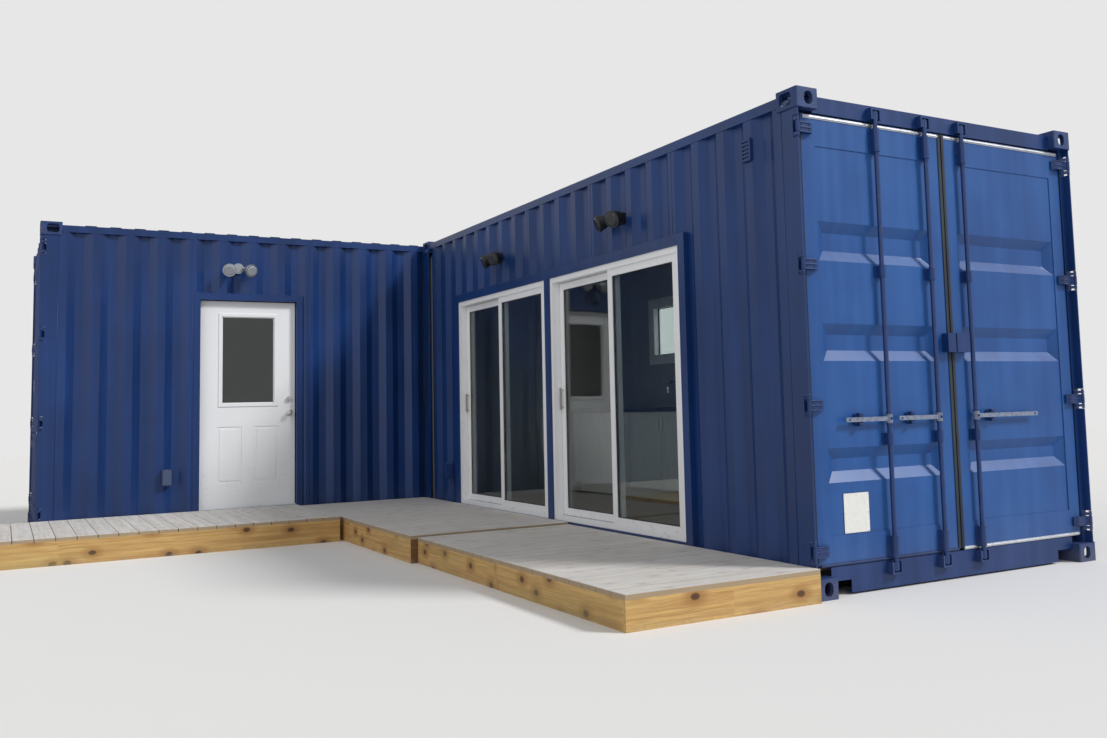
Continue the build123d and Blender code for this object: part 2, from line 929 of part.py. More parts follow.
skin_end = end_skin - post_end
near_skin = side_skin(post_end, opening_start, rail_top, roof_rail_low, 1)
far_skin = side_skin(opening_end, skin_end, rail_top, roof_rail_low, 1)
save(gather([place_main(near_skin), place_main(far_skin)]), "main_wall_front")
left_skin = side_skin(post_end, doorway_start, rail_top, roof_rail_low, -1)
right_skin = side_skin(doorway_end, skin_end, rail_top, roof_rail_low, -1)
save(gather([place_wing(left_skin), place_wing(right_skin)]), "wing_wall_front")
over_skin = place_main(side_skin(opening_start, opening_end, opening_top, roof_rail_low, 1))
above_skin = place_wing(side_skin(doorway_start, doorway_end, doorway_top, roof_rail_low, -1))
save(gather([over_skin, above_skin]), "walls_over_openings")
window_hole = window_slab(window_start, window_end, 0, 200, window_low, window_high)
main_back = side_skin(post_end, skin_end, rail_top, roof_rail_low, -1) - window_hole
save(place_main(main_back), "main_wall_back")
save(place_wing(side_skin(post_end, skin_end, rail_top, roof_rail_low, 1)), "wing_wall_back")
save(gather([place_main(end_skin_sheet()), place_wing(end_skin_sheet())]), "end_walls")

lining_start = post_end + 2
lining_end = end_skin - wave_depth - skin_sheet
main_left = lining_panel(lining_start, lining_end, 1)
main_left -= unit_slab(opening_start, opening_end, 0, 200, 0, opening_top)
main_right = lining_panel(lining_start, lining_end, -1) - window_hole
wing_front = lining_panel(lining_start, lining_end, -1)
wing_front -= entry_slab(doorway_start, doorway_end, 0, 200, 0, doorway_top)
wing_back = lining_panel(lining_start, lining_end, 1)
save(gather([place_main(shape) for shape in (main_left, main_right, end_lining())]), "main_lining")
save(gather([place_wing(shape) for shape in (wing_front, wing_back, end_lining())]), "wing_lining")

save(place_main(opening_frame()), "opening_frame")
near_unit, far_unit = unit_starts()
save(gather([place_main(patio_frame(start)) for start in unit_starts()]), "patio_frames")
fixed_panels = [panel_ring(*fixed_limits(start)) for start in unit_starts()]
fixed_glass = [panel_glass(*fixed_limits(start)) for start in unit_starts()]
save(gather([place_main(shape) for shape in fixed_panels]), "patio_fixed_panels")
save(gather([place_main(shape) for shape in fixed_glass]), "patio_fixed_glass")
for start, label in ((near_unit, "near"), (far_unit, "far")):
    limits = sliding_limits(start)
    sash = panel_ring(*limits)
    first, last, front, low, high = limits
    for wheel in patio_rollers(start):
        sash -= wheel
    save(place_main(sash), "patio_leaf_" + label)
    save(place_main(panel_glass(*limits)), "patio_glass_" + label)
    fittings = [pull_handle(start)] + patio_rollers(start)
    save(gather([place_main(shape) for shape in fittings]), "patio_fittings_" + label)
save(place_main(window_ring()), "window_frame")
save(place_main(window_pane()), "window_glass")

left_leaf = cargo_leaf()
right_leaf = mirror(left_leaf, about=Plane.XZ)
left_seal = leaf_seal()
right_seal = mirror(left_seal, about=Plane.XZ)
save(place_main(left_leaf), "cargo_leaf_left")
save(place_main(right_leaf), "cargo_leaf_right")
save(place_main(left_seal), "cargo_seal_left")
save(place_main(right_seal), "cargo_seal_right")
left_blades = [hinge_blade(height) for height in hinge_heights]
right_blades = [mirror(shape, about=Plane.XZ) for shape in left_blades]
field_plane = face_plane + panel_step
plate = block(field_plane - plate_sheet, field_plane, plate_start, plate_end, plate_low, plate_high)
left_set = left_blades + rod_guides(rod_inner) + rod_guides(rod_outer) + [lock_box_half(left_box_reach)]
left_set += [handle_catch(rod_inner + catch_reach), handle_catch(rod_outer + catch_reach)]
save(gather([place_main(shape) for shape in left_set + [plate]]), "leaf_fittings_left")
right_set = right_blades + rod_guides(-rod_inner)
right_set += [mirror(lock_box_half(right_box_reach), about=Plane.XZ)]
long_catch = handle_catch(-rod_inner - long_catch_reach)
main_right_set = right_set + [long_catch]
save(gather([place_main(shape) for shape in main_right_set]), "leaf_fittings_right")
rod_places = [(rod_outer, 1), (rod_inner, 1), (-rod_inner, -1), (-rod_outer, -1)]
rods = [lock_rod(y, side, handle_reach) for y, side in rod_places]
long_rod = lock_rod(-rod_inner, -1, long_handle_reach)
for index, rod in enumerate(rods[:2] + [long_rod]):
    save(place_main(rod), "lock_rod_" + str(index + 1))
left_lugs = [hinge_lugs(height) for height in hinge_heights]
lugs = left_lugs + [mirror(shape, about=Plane.XZ) for shape in left_lugs]
lug_set = [place_main(shape) for shape in lugs] + [place_wing(shape) for shape in lugs]
save(gather(lug_set), "hinge_lugs")
keepers = []
for y, side in rod_places:
    keepers += [cam_keeper(y, True), cam_keeper(y, False)]
main_keepers = keepers[:6]
keeper_set = [place_main(shape) for shape in main_keepers]
keeper_set += [place_wing(shape) for shape in keepers]
save(gather(keeper_set), "cam_keepers")

save(gather([place_wing(left_leaf), place_wing(right_leaf)]), "wing_cargo_leaves")
save(gather([place_wing(left_seal), place_wing(right_seal)]), "wing_cargo_seals")
wing_set = left_set + right_set + rods + rod_guides(-rod_outer)
wing_set += [handle_catch(-rod_inner - catch_reach), handle_catch(-rod_outer - catch_reach)]
save(gather([place_wing(shape) for shape in wing_set]), "wing_leaf_fittings")

save(place_wing(entry_frame()), "entry_frame")
save(place_wing(entry_leaf()), "entry_leaf")
save(place_wing(entry_pane()), "entry_glass")
save(gather([place_wing(shape) for shape in entry_hardware()]), "entry_hardware")

pressed_middle = wave_flat + wave_slope + 35
near_flat = post_end + 6 * wave_pitch + pressed_middle
far_flat = post_end + 14 * wave_pitch + wave_flat / 2
lights = [main_side(twin_light(wave_depth), near_flat, opening_top + light_rise)]
lights.append(main_side(twin_light(0), far_flat, opening_top + light_rise))
wing_flat = post_end + 5 * wave_pitch + pressed_middle - shell_length / 2
lights.append(wing_side(twin_light(wave_depth), wing_flat, doorway_top + wing_light_rise))
save(gather(lights), "flood_lights")
outlet_waves = int((opening_end + outlet_clear - post_end - pressed_middle) / wave_pitch) + 1
box_flat = post_end + outlet_waves * wave_pitch + pressed_middle
boxes = [main_side(outlet_box(wave_depth), box_flat, outlet_height)]
boxes.append(wing_side(outlet_box(0), wing_outlet_place - shell_length / 2, wing_outlet_height))
save(gather(boxes), "outlet_boxes")
save(main_side(vent_cover(), vent_place, roof_rail_low - vent_drop), "side_vent")

# Deck: three platforms of boards on joists, each closed by a rim board along its open edges
wing_deck = (wing_deck_left, wing_deck_right, wing_deck_front, -half_width, wing_deck_top)
far_deck = (far_deck_left, main_plane, far_deck_low, -half_width - board_gap, far_deck_top)
near_deck = (near_deck_left, main_plane, near_deck_low, near_deck_high, near_deck_top)
boards = deck_boards(*wing_deck, True) + deck_boards(*far_deck, False) + deck_boards(*near_deck, False)
save(gather(boards), "deck_boards")
joists = deck_joists(*wing_deck, True) + deck_joists(*far_deck, False)
save(gather(joists + deck_joists(*near_deck, False)), "deck_joists")
save(gather([deck_front(*platform) for platform in (wing_deck, far_deck, near_deck)]), "deck_fascia_fronts")
sides = [deck_side(*platform) for platform in (wing_deck, far_deck, near_deck)]
sides.append(Pos(wing_deck_right - wing_deck_left - board_depth, 0, 0) * sides[0])
save(gather(sides), "deck_fascia_sides")

# Kitchen counter seen through the glass: cabinet, worktop and tap
counter_back = -half_width + lining_inner
counter_end = end_skin - wave_depth - skin_sheet - lining_depth
counter_start = counter_end - counter_length
cabinet = block(counter_start, counter_end, counter_back, counter_back + 560, rail_top, 1040)
cabinet -= block(counter_start, counter_end, counter_back + 500, counter_back + 560, rail_top, 265)
save(place_main(cabinet), "counter_cabinet")
worktop = block(counter_start - 10, counter_end, counter_back, counter_back + 600, 1040, 1080)
basin_end = counter_end - basin_from_end
basin = block(basin_end - basin_length, basin_end, counter_back + 130, counter_back + 500, 1050, 1080)
worktop -= fillet(basin.edges().filter_by(Axis.Z), 40)
save(place_main(worktop), "counter_worktop")
tap_x = basin_end - basin_length / 2
tap_y = counter_back + 80
neck = Line((0, 0, 0), (0, 0, 190))
bend = ThreePointArc((0, 0, 190), (0, 85, 275), (0, 170, 190))
spout = Line((0, 170, 190), (0, 170, 150))
tap = upright(24, 0, 0, 0, 30) + sweep(Circle(11), path=neck + bend + spout)
save(place_main(Pos(tap_x, tap_y, 1080) * tap), "counter_tap")
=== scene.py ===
import math
import random

import bmesh
import bpy
from mathutils import Matrix, Vector


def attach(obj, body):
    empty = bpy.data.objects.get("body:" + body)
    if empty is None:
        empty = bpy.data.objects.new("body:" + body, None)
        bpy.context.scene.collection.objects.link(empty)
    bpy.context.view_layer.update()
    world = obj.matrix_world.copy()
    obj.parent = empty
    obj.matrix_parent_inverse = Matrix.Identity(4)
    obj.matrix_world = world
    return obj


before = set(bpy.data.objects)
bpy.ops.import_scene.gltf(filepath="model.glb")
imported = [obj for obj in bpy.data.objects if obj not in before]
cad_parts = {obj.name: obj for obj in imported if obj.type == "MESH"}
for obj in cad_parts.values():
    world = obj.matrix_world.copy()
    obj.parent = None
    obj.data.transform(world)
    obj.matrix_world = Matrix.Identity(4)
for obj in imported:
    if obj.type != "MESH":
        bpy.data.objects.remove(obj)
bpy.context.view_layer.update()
random.seed(7)
print("frame loaded,", len(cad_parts), "nodes")


# Shader maths

class Value:
    def __init__(self, finish, socket):
        self.finish = finish
        self.socket = socket

    def maths(self, operation, first, second=0.0):
        return self.finish.node("Math", {"operation": operation}, {0: first, 1: second})

    def __add__(self, other):
        return self.maths("ADD", self, other)

    def __radd__(self, other):
        return self.maths("ADD", other, self)

    def __sub__(self, other):
        return self.maths("SUBTRACT", self, other)

    def __rsub__(self, other):
        return self.maths("SUBTRACT", other, self)

    def __mul__(self, other):
        return self.maths("MULTIPLY", self, other)

    def __rmul__(self, other):
        return self.maths("MULTIPLY", other, self)

    def __gt__(self, other):
        return self.maths("GREATER_THAN", self, other)

    def __lt__(self, other):
        return self.maths("LESS_THAN", self, other)

    def cells(self, pitch):
        return self.maths("FLOOR", self * (1 / pitch))


class Finish:
    def __init__(self, name):
        self.material = bpy.data.materials.new(name)
        self.material.use_nodes = True
        self.tree = self.material.node_tree
        self.shader = self.tree.nodes["Principled BSDF"]
        self.place = self.node("TexCoord", output="Object")

    def node(self, kind, settings=None, values=None, output=0):
        made = self.tree.nodes.new("ShaderNode" + kind)
        for name, value in (settings or {}).items():
            setattr(made, name, value)
        for name, value in (values or {}).items():
            self.feed(made.inputs[name], value)
        return Value(self, made.outputs[output])

    def feed(self, socket, value):
        if isinstance(value, Value):
            self.tree.links.new(value.socket, socket)
        else:
            socket.default_value = value

    def set(self, **values):
        for name, value in values.items():
            words = {"baseColour": "Base Color", "transmission": "Transmission Weight",
                     "specular": "Specular IOR Level", "ior": "IOR"}
            self.feed(self.shader.inputs[words.get(name, name.capitalize())], value)

    def stretched(self, scale):
        return self.node("Mapping", values={"Vector": self.place, "Scale": scale})

    def noise(self, size, detail=3.0, stretch=None, rough=0.55, place=None):
        if place is None:
            place = self.stretched(stretch) if stretch else self.place
        values = {"Vector": place, "Scale": 1 / size, "Detail": detail, "Roughness": rough}
        return self.node("TexNoise", values=values)

    def spots(self, size, place):
        # distance to the nearest of many scattered points, in metres
        values = {"Vector": place, "Scale": 1 / size, "Randomness": 1.0}
        settings = {"feature": "F1", "voronoi_dimensions": "2D"}
        return self.node("TexVoronoi", settings, values, output="Distance") * size

    def joined(self, first, second, third):
        return self.node("CombineXYZ", values={"X": first, "Y": second, "Z": third})

    def chance(self, value):
        return self.node("TexWhiteNoise", {"noise_dimensions": "1D"}, {"W": value}, output="Value")

    def ramp(self, value, low, high):
        values = {0: value, 1: low, 2: high, 3: 0.0, 4: 1.0}
        return self.node("MapRange", {"interpolation_type": "SMOOTHSTEP"}, values)

    def mix(self, amount, first, second):
        colours = {0: amount, 6: first, 7: second}
        return self.node("Mix", {"data_type": "RGBA"}, colours, output=2)

    def axis(self, name):
        return self.node("SeparateXYZ", values={"Vector": self.place}, output=name)

    def done(self, base, roughness, relief, depth, **others):
        # sets colour, roughness and a relief as deep as depth, and gives the material
        self.set(baseColour=base, roughness=roughness, **others)
        self.set(normal=self.node("Bump", values={"Height": relief, "Distance": depth}))
        return self.material


def colour(red, green, blue):
    # screen values from 0 to 255, turned to linear light
    def linear(value):
        part = value / 255
        return part / 12.92 if part < 0.04 else ((part + 0.055) / 1.055) ** 2.4
    return (linear(red), linear(green), linear(blue), 1.0)


def darker(shade, share):
    return tuple(part * share for part in shade[:3]) + (1.0,)


# Finishes

paint = {
    "navy": colour(11, 43, 92),
    "navyPale": colour(17, 54, 112),
    # the two door shades are the shell's navy painted lighter and bluer, as painted sunlight and sky
    # reflection on the cargo doors
    "sunlitDoorNavy": colour(20, 68, 130),
    "sunlitDoorPale": colour(32, 84, 150),
    "film": colour(76, 98, 132),
    "dust": colour(142, 134, 120),
    "rust": colour(80, 60, 50),
    "dustTop": 0.5,
}


def navyPaint(name, dustAmount, wear, roughness, dents, shades=("navy", "navyPale")):
    # gloss paint on steel: faint streaks, dust near the ground, chips, and dents that bend reflections
    finish = Finish(name)
    height = finish.axis("Z")
    cloud = finish.noise(0.9, 3.0)
    streak = finish.noise(0.1, 4.0, (1, 1, 0.05))
    tone = finish.ramp(cloud * 0.6 + streak * 0.4, 0.35, 0.65)
    base = finish.mix(tone, paint[shades[0]], paint[shades[1]])
    grit = finish.noise(0.012, 5.0)
    low = 1 - finish.ramp(height, 0.02, paint["dustTop"])
    base = finish.mix(finish.ramp(streak, 0.5, 0.75) * 0.05, base, paint["film"])
    dust = low * finish.ramp(cloud * 0.5 + streak * 0.3 + grit * 0.2, 0.3, 0.7) * dustAmount
    base = finish.mix(dust, base, paint["dust"])
    chip = finish.noise(0.02, 6.0)
    patch = finish.noise(0.6, 2.0)
    chips = finish.ramp(chip * patch, 0.38, 0.4) * wear
    base = finish.mix(chips, base, paint["rust"])
    rough = roughness + tone * 0.06 + dust * 0.5 + chips * 0.3
    peel = finish.noise(0.004, 2.0)
    dent = finish.noise(0.45, 2.0)
    relief = dent * dents + peel * 0.02 + grit * 0.01
    return finish.done(base, rough, relief, 0.002, specular=0.4)


def wornRodPaint():
    # rods painted with the doors, their handle bars rubbed to a dull pale blue grey
    finish = Finish("rodPaint")
    height = finish.axis("Z")
    cloud = finish.noise(0.06, 4.0)
    base = finish.mix(cloud, paint["navy"], paint["navyPale"])
    bar = finish.ramp(height, 0.955, 0.965) * (1 - finish.ramp(height, 1.005, 1.015))
    rubbed = bar * (0.55 + finish.ramp(finish.noise(0.03, 5.0), 0.35, 0.6) * 0.4)
    base = finish.mix(rubbed, base, colour(128, 138, 156))
    chips = finish.ramp(finish.noise(0.02, 6.0) * cloud, 0.33, 0.37) * 0.5
    base = finish.mix(chips, base, paint["rust"])
    rough = 0.36 + chips * 0.3 + rubbed * 0.06
    return finish.done(base, rough, finish.noise(0.005, 3.0) + chips, 0.0003)


def castPaint():
    finish = Finish("castPaint")
    grain = finish.noise(0.006, 5.0)
    cloud = finish.noise(0.07, 3.0)
    scuff = finish.ramp(finish.noise(0.02, 6.0) * cloud, 0.32, 0.38)
    base = finish.mix(finish.ramp(cloud, 0.3, 0.7), paint["navy"], paint["navyPale"])
    low = 1 - finish.ramp(finish.axis("Z"), 0.02, 0.16)
    base = finish.mix(low * 0.35 * grain, base, paint["dust"])
    base = finish.mix(scuff * 0.6, base, paint["rust"])
    return finish.done(base, 0.5 + grain * 0.1, grain + cloud, 0.0012)


def roofPaint():
    finish = Finish("roofPaint")
    cloud = finish.noise(0.7, 4.0)
    ring = finish.noise(0.16, 5.0)
    spot = finish.ramp(finish.noise(0.02, 5.0) * cloud, 0.33, 0.37)
    base = finish.mix(finish.ramp(ring, 0.35, 0.7), paint["navyPale"], colour(52, 76, 122))
    base = finish.mix(finish.ramp(cloud, 0.45, 0.8) * 0.35, base, paint["dust"])
    base = finish.mix(spot * 0.6, base, paint["rust"])
    relief = ring + finish.noise(0.01, 4.0) * 0.4
    return finish.done(base, 0.5 + ring * 0.25, relief, 0.0012)


def underPaint():
    finish = Finish("underPaint")
    cloud = finish.noise(0.2, 5.0)
    rust = finish.ramp(finish.noise(0.05, 6.0) + cloud * 0.4, 0.7, 0.9)
    base = finish.mix(cloud, colour(28, 29, 31), colour(48, 47, 46))
    base = finish.mix(rust * 0.7, base, paint["rust"])
    return finish.done(base, 0.75, finish.noise(0.008, 5.0), 0.001)


def rubber(name, dark, pale, low=0.4, high=0.65):
    finish = Finish(name)
    wear = finish.ramp(finish.noise(0.12, 4.0, (1, 1, 0.2)), low, high)
    base = finish.mix(wear, dark, pale)
    relief = finish.noise(0.01, 4.0, (1, 1, 0.3))
    return finish.done(base, 0.62 + wear * 0.15, relief, 0.0004)


def plateFinish():
    finish = Finish("platePaint")
    cloud = finish.noise(0.03, 4.0)
    scratch = finish.ramp(finish.noise(0.008, 5.0, (1, 1, 0.2)), 0.6, 0.72)
    base = finish.mix(cloud, colour(214, 214, 208), colour(230, 230, 226))
    base = finish.mix(scratch * 0.3, base, colour(150, 148, 142))
    return finish.done(base, 0.45 + cloud * 0.1, scratch, 0.0002)


def lensFinish():
    # clear ribbed cover over the entry door; on the glazed side the same cover painted near black, as
    # painted shade
    finish = Finish("lampLens")
    ribs = finish.noise(0.006, 2.0)
    onGlazedSide = finish.axis("X") > 0.0
    pale = finish.mix(ribs, colour(128, 134, 144), colour(168, 172, 178))
    # painted shade: near black lens colour for the glazed side
    dark = finish.mix(ribs, colour(20, 22, 28), colour(34, 38, 46))
    return finish.done(finish.mix(onGlazedSide, pale, dark), 0.16 + ribs * 0.1, ribs, 0.0006)


def vinyl():
    finish = Finish("whiteVinyl")
    cloud = finish.noise(0.4, 3.0)
    grime = finish.ramp(finish.noise(0.05, 5.0) + cloud * 0.3, 0.72, 0.95)
    low = 1 - finish.ramp(finish.axis("Z"), 0.2, 0.32)
    base = finish.mix(cloud, colour(232, 233, 236), colour(240, 241, 243))
    base = finish.mix(grime * 0.12 + low * grime * 0.4, base, colour(150, 140, 124))
    return finish.done(base, 0.38 + cloud * 0.08, finish.noise(0.003, 2.0), 0.0001)


def leafPaint():
    # pressed steel door skin with a faint brushed grain and a little dirt near its foot
    finish = Finish("entryLeafPaint")
    cloud = finish.noise(0.5, 3.0)
    grime = finish.ramp(finish.noise(0.04, 6.0) + cloud * 0.3, 0.7, 0.95)
    low = 1 - finish.ramp(finish.axis("Z"), 0.24, 0.7)
    base = finish.mix(cloud, colour(228, 230, 233), colour(236, 237, 239))
    base = finish.mix(low * grime * 0.45 + grime * 0.06, base, colour(160, 148, 130))
    brushed = finish.noise(0.002, 3.0, (1, 1, 0.08))
    return finish.done(base, 0.42 + cloud * 0.06, brushed, 0.00015)


def clearGlass():
    finish = Finish("clearGlass")
    wave = finish.noise(0.9, 1.0)
    return finish.done((0.80, 0.87, 0.85, 1.0), 0.0, wave, 0.0025, transmission=1.0, ior=1.5)


def metal(name, shade, roughness, brushed=0.3):
    finish = Finish(name)
    grain = finish.noise(0.004, 3.0, (1, 1, 0.15))
    smear = finish.noise(0.05, 4.0)
    base = finish.mix(finish.ramp(smear, 0.4, 0.7) * 0.35, shade, darker(shade, 0.55))
    return finish.done(base, roughness + grain * brushed * 0.3, grain, 0.00008, metallic=1.0)


wood = {
    "pitch": 0.145,
    "topPale": colour(226, 224, 221),
    "topDark": colour(186, 180, 172),
    "topEdge": colour(152, 130, 98),
    "sidePale": colour(218, 180, 114),
    "sideDark": colour(154, 110, 60),
    "green": colour(176, 166, 104),
    "knot": colour(74, 42, 22),
    "topKnot": colour(150, 122, 92),
    "grain": 0.004,
    "longGrain": 0.025,
    "knotSpread": 0.20,
    "knotSize": 0.022,
}

# Corners of the three deck platforms: low x, high x, low y, high y, top
platforms = {
    "wing": (-3.785, -0.745, -2.735, -1.219, 0.212),
    "far": (-0.705, 0.591, -4.409, -1.224, 0.200),
    "near": (-0.655, 0.591, -7.312, -4.417, 0.184),
}


def woodLook(finish, along, across, depth, board, pale, dark, knot, knotShare):
    # grain runs along each board, and each board has a tone and knots of its own
    chance = finish.chance(board)
    shifted = along + chance * 9
    grainPlace = finish.joined(shifted * wood["longGrain"], across, depth)
    fine = finish.noise(wood["grain"], 4.0, place=grainPlace, rough=0.6)
    broad = finish.noise(0.022, 3.0, place=grainPlace)
    cloud = finish.noise(0.5, 2.0, place=finish.joined(shifted, across, depth))
    bands = finish.ramp(fine * 0.5 + broad * 0.5, 0.36, 0.64)
    base = finish.mix(bands * 0.75 + cloud * 0.2, dark, pale)
    base = finish.mix(chance * 0.35, base, darker(pale, 0.72))
    knots = finish.spots(wood["knotSpread"], finish.joined(shifted * 0.65, across, 0.0))
    halo = 1 - finish.ramp(knots, wood["knotSize"], wood["knotSize"] * 3.2)
    eye = 1 - finish.ramp(knots, wood["knotSize"] * 0.55, wood["knotSize"] * 1.1)
    base = finish.mix(halo * knotShare * 0.8, base, dark)
    base = finish.mix(eye * knotShare, base, knot)
    splitPlace = finish.joined(shifted * 0.008, across, depth)
    split = finish.ramp(finish.noise(0.006, 3.0, place=splitPlace), 0.64, 0.7)
    base = finish.mix(split * 0.3, base, darker(dark, 0.45))
    return base, fine, split


def deckTopWood():
    finish = Finish("deckTop")
    x, y, z = finish.axis("X"), finish.axis("Y"), finish.axis("Z")
    wing, far, near = platforms["wing"], platforms["far"], platforms["near"]
    onWing = x < (wing[1] + far[0]) / 2
    onNear = y < (far[2] + near[3]) / 2
    along = onWing * y + (1 - onWing) * x
    across = onWing * (x - wing[0] + 0.0025) + (1 - onWing) * (y - far[2] + 0.0025 - onNear * 0.003)
    board = across.cells(wood["pitch"])
    plank = board + onWing * 70
    base, fine, split = woodLook(finish, along, across, z, plank, wood["topPale"], wood["topDark"],
                                 wood["topKnot"], 0.3)
    top = far[4] + onWing * (wing[4] - far[4]) - onNear * (far[4] - near[4])
    edge = finish.ramp(top - z, 0.002, 0.004)
    base = finish.mix(edge * 0.9, base, wood["topEdge"])
    stain = finish.ramp(finish.noise(0.3, 5.0), 0.5, 0.75) * (1 - edge)
    base = finish.mix(stain * 0.1, base, colour(160, 150, 134))
    return finish.done(base, 0.68 + fine * 0.15, fine * 0.8 - split * 0.8, 0.0008)


def rimWood(name, along):
    finish = Finish(name)
    x, y, z = finish.axis("X"), finish.axis("Y"), finish.axis("Z")
    along, other = (x, y) if along == "X" else (y, x)
    board = other.cells(0.4) + 11 + along.cells(2.9)
    base, fine, split = woodLook(finish, along, z, other, board, wood["sidePale"], wood["sideDark"],
                                 wood["knot"], 0.95)
    damp = finish.ramp(finish.noise(0.35, 4.0, (0.3, 0.3, 1)), 0.42, 0.72)
    base = finish.mix(damp * 0.35, base, wood["green"])
    # painted shade: the far platform's end face over the step to the near platform, coloured knot
    # brown
    paintedStepShade = (y < -4.405) * (y > -4.421)
    base = finish.mix(paintedStepShade * 0.8, base, wood["knot"])
    splash = (1 - finish.ramp(z, 0.0, 0.07)) * finish.ramp(finish.noise(0.03, 5.0), 0.4, 0.7)
    base = finish.mix(splash * 0.45, base, colour(150, 138, 118))
    return finish.done(base, 0.62 + fine * 0.15, fine * 0.8 - split * 0.8, 0.0008)


def boardLining(name, pale, dark, roughness):
    finish = Finish(name)
    cloud = finish.noise(0.6, 4.0)
    grain = finish.noise(0.02, 4.0, (1, 1, 0.1))
    base = finish.mix(cloud * 0.6 + grain * 0.4, dark, pale)
    return finish.done(base, roughness, grain, 0.0004)


def lampMetal():
    # bright zinc on the pair over the entry door; the two lamps of the glazed side are the same
    # fixture painted near black and not metallic, as painted shade
    finish = Finish("lampMetal")
    overDoor = finish.axis("X") < 0.0
    cloud = finish.noise(0.03, 4.0)
    # painted shade: near black on the glazed side, zinc grey over the door
    base = finish.mix(overDoor, colour(26, 28, 34), colour(160, 165, 174))
    rough = 0.48 - overDoor * 0.2 + cloud * 0.1
    return finish.done(base, rough, finish.noise(0.002, 3.0), 0.0002, metallic=overDoor * 0.85)


def boxPlastic():
    finish = Finish("boxPlastic")
    cloud = finish.noise(0.08, 4.0)
    onWing = finish.axis("X") < 0.0
    painted = finish.mix(cloud, paint["navy"], paint["navyPale"])
    base = finish.mix(onWing, painted, colour(62, 76, 108))
    return finish.done(base, 0.5 + cloud * 0.1, finish.noise(0.002, 3.0), 0.0002)


def worktopBoard():
    finish = Finish("worktopBoard")
    speck = finish.noise(0.004, 6.0)
    cloud = finish.noise(0.05, 3.0)
    base = finish.mix(finish.ramp(speck, 0.4, 0.65), colour(38, 38, 40), colour(104, 101, 98))
    base = finish.mix(cloud * 0.3, base, colour(70, 66, 62))
    return finish.done(base, 0.22, speck, 0.0001)


def floorBoard():
    finish = Finish("floorBoard")
    grain = finish.noise(0.012, 5.0, (1, 0.06, 1))
    tone = finish.chance(finish.axis("X").cells(0.18))
    base = finish.mix(grain, colour(92, 78, 64), colour(138, 121, 101))
    base = finish.mix(tone * 0.3, base, colour(80, 70, 60))
    return finish.done(base, 0.35 + grain * 0.1, grain, 0.0003)


shellPaint = navyPaint("shellPaint", 0.07, 0.12, 0.34, 1.0)
# cargo doors: the shell's paint with painted sunlight and sky reflection, in the lighter door shades
sunlitDoorPaint = navyPaint("sunlitDoorPaint", 0.14, 0.1, 0.36, 2.0, ("sunlitDoorNavy", "sunlitDoorPale"))
fittingPaint = navyPaint("fittingPaint", 0.14, 0.5, 0.36, 0.2)
rodPaint = wornRodPaint()
framePaint = navyPaint("framePaint", 0.1, 0.05, 0.34, 0.4)
whiteVinyl = vinyl()
zincSteel = metal("zincSteel", (0.62, 0.64, 0.68, 1.0), 0.34)
satinNickel = metal("satinNickel", (0.66, 0.64, 0.60, 1.0), 0.26)
chrome = metal("chrome", (0.80, 0.81, 0.83, 1.0), 0.10, 0.1)
deckTop = deckTopWood()
fasciaFront = rimWood("fasciaFront", "X")
fasciaSide = rimWood("fasciaSide", "Y")
gasketRubber = rubber("gasketRubber", colour(22, 32, 46), colour(44, 54, 60))
paintedSeal = rubber("paintedSeal", colour(20, 34, 64), colour(26, 30, 38), 0.5, 0.75)
glazingRubber = rubber("glazingRubber", colour(58, 60, 62), colour(82, 84, 86))
darkRubber = rubber("darkRubber", colour(14, 14, 15), colour(26, 26, 27))
lampFinish = lampMetal()
boxFinish = boxPlastic()
cabinetPaint = boardLining("cabinetPaint", colour(222, 222, 220), colour(208, 208, 206), 0.4)
whiteLining = boardLining("whiteLining", colour(168, 168, 164), colour(150, 150, 147), 0.6)

dressing = {
    shellPaint: ["corner_posts", "door_headers", "door_sills", "end_walls", "frame_rails",
                 "main_wall_back", "main_wall_front", "walls_over_openings", "wing_wall_back",
                 "wing_wall_front", "side_vent"],
    castPaint(): ["corner_castings"],
    sunlitDoorPaint: ["cargo_leaf_left", "cargo_leaf_right", "wing_cargo_leaves"],
    fittingPaint: ["cam_keepers", "hinge_lugs", "leaf_fittings_left", "leaf_fittings_right",
                   "wing_leaf_fittings"],
    rodPaint: ["lock_rod_1", "lock_rod_2", "lock_rod_3"],
    paintedSeal: ["cargo_seal_left", "cargo_seal_right", "wing_cargo_seals"],
    roofPaint(): ["roofs"],
    underPaint(): ["cross_members"],
    framePaint: ["entry_frame", "opening_frame"],
    whiteVinyl: ["patio_frames", "patio_fixed_panels", "patio_leaf_far", "patio_leaf_near",
                 "window_frame"],
    leafPaint(): ["entry_leaf"],
    clearGlass(): ["entry_glass", "patio_fixed_glass", "patio_glass_far", "patio_glass_near",
                   "window_glass"],
    satinNickel: ["entry_hardware", "patio_fittings_far", "patio_fittings_near"],
    whiteLining: ["ceilings", "main_lining", "wing_lining"],
    floorBoard(): ["floors"],
    deckTop: ["deck_boards"],
    fasciaFront: ["deck_fascia_fronts"],
    fasciaSide: ["deck_fascia_sides", "deck_joists"],
    cabinetPaint: ["counter_cabinet"],
    worktopBoard(): ["counter_worktop"],
    chrome: ["counter_tap"],
    lampFinish: ["flood_lights"],
    boxFinish: ["outlet_boxes"],
}
for finish, nodes in dressing.items():
    for node in nodes:
        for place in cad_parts[node].material_slots:
            place.material = finish
print("finishes on the frame's nodes")


# Making pieces

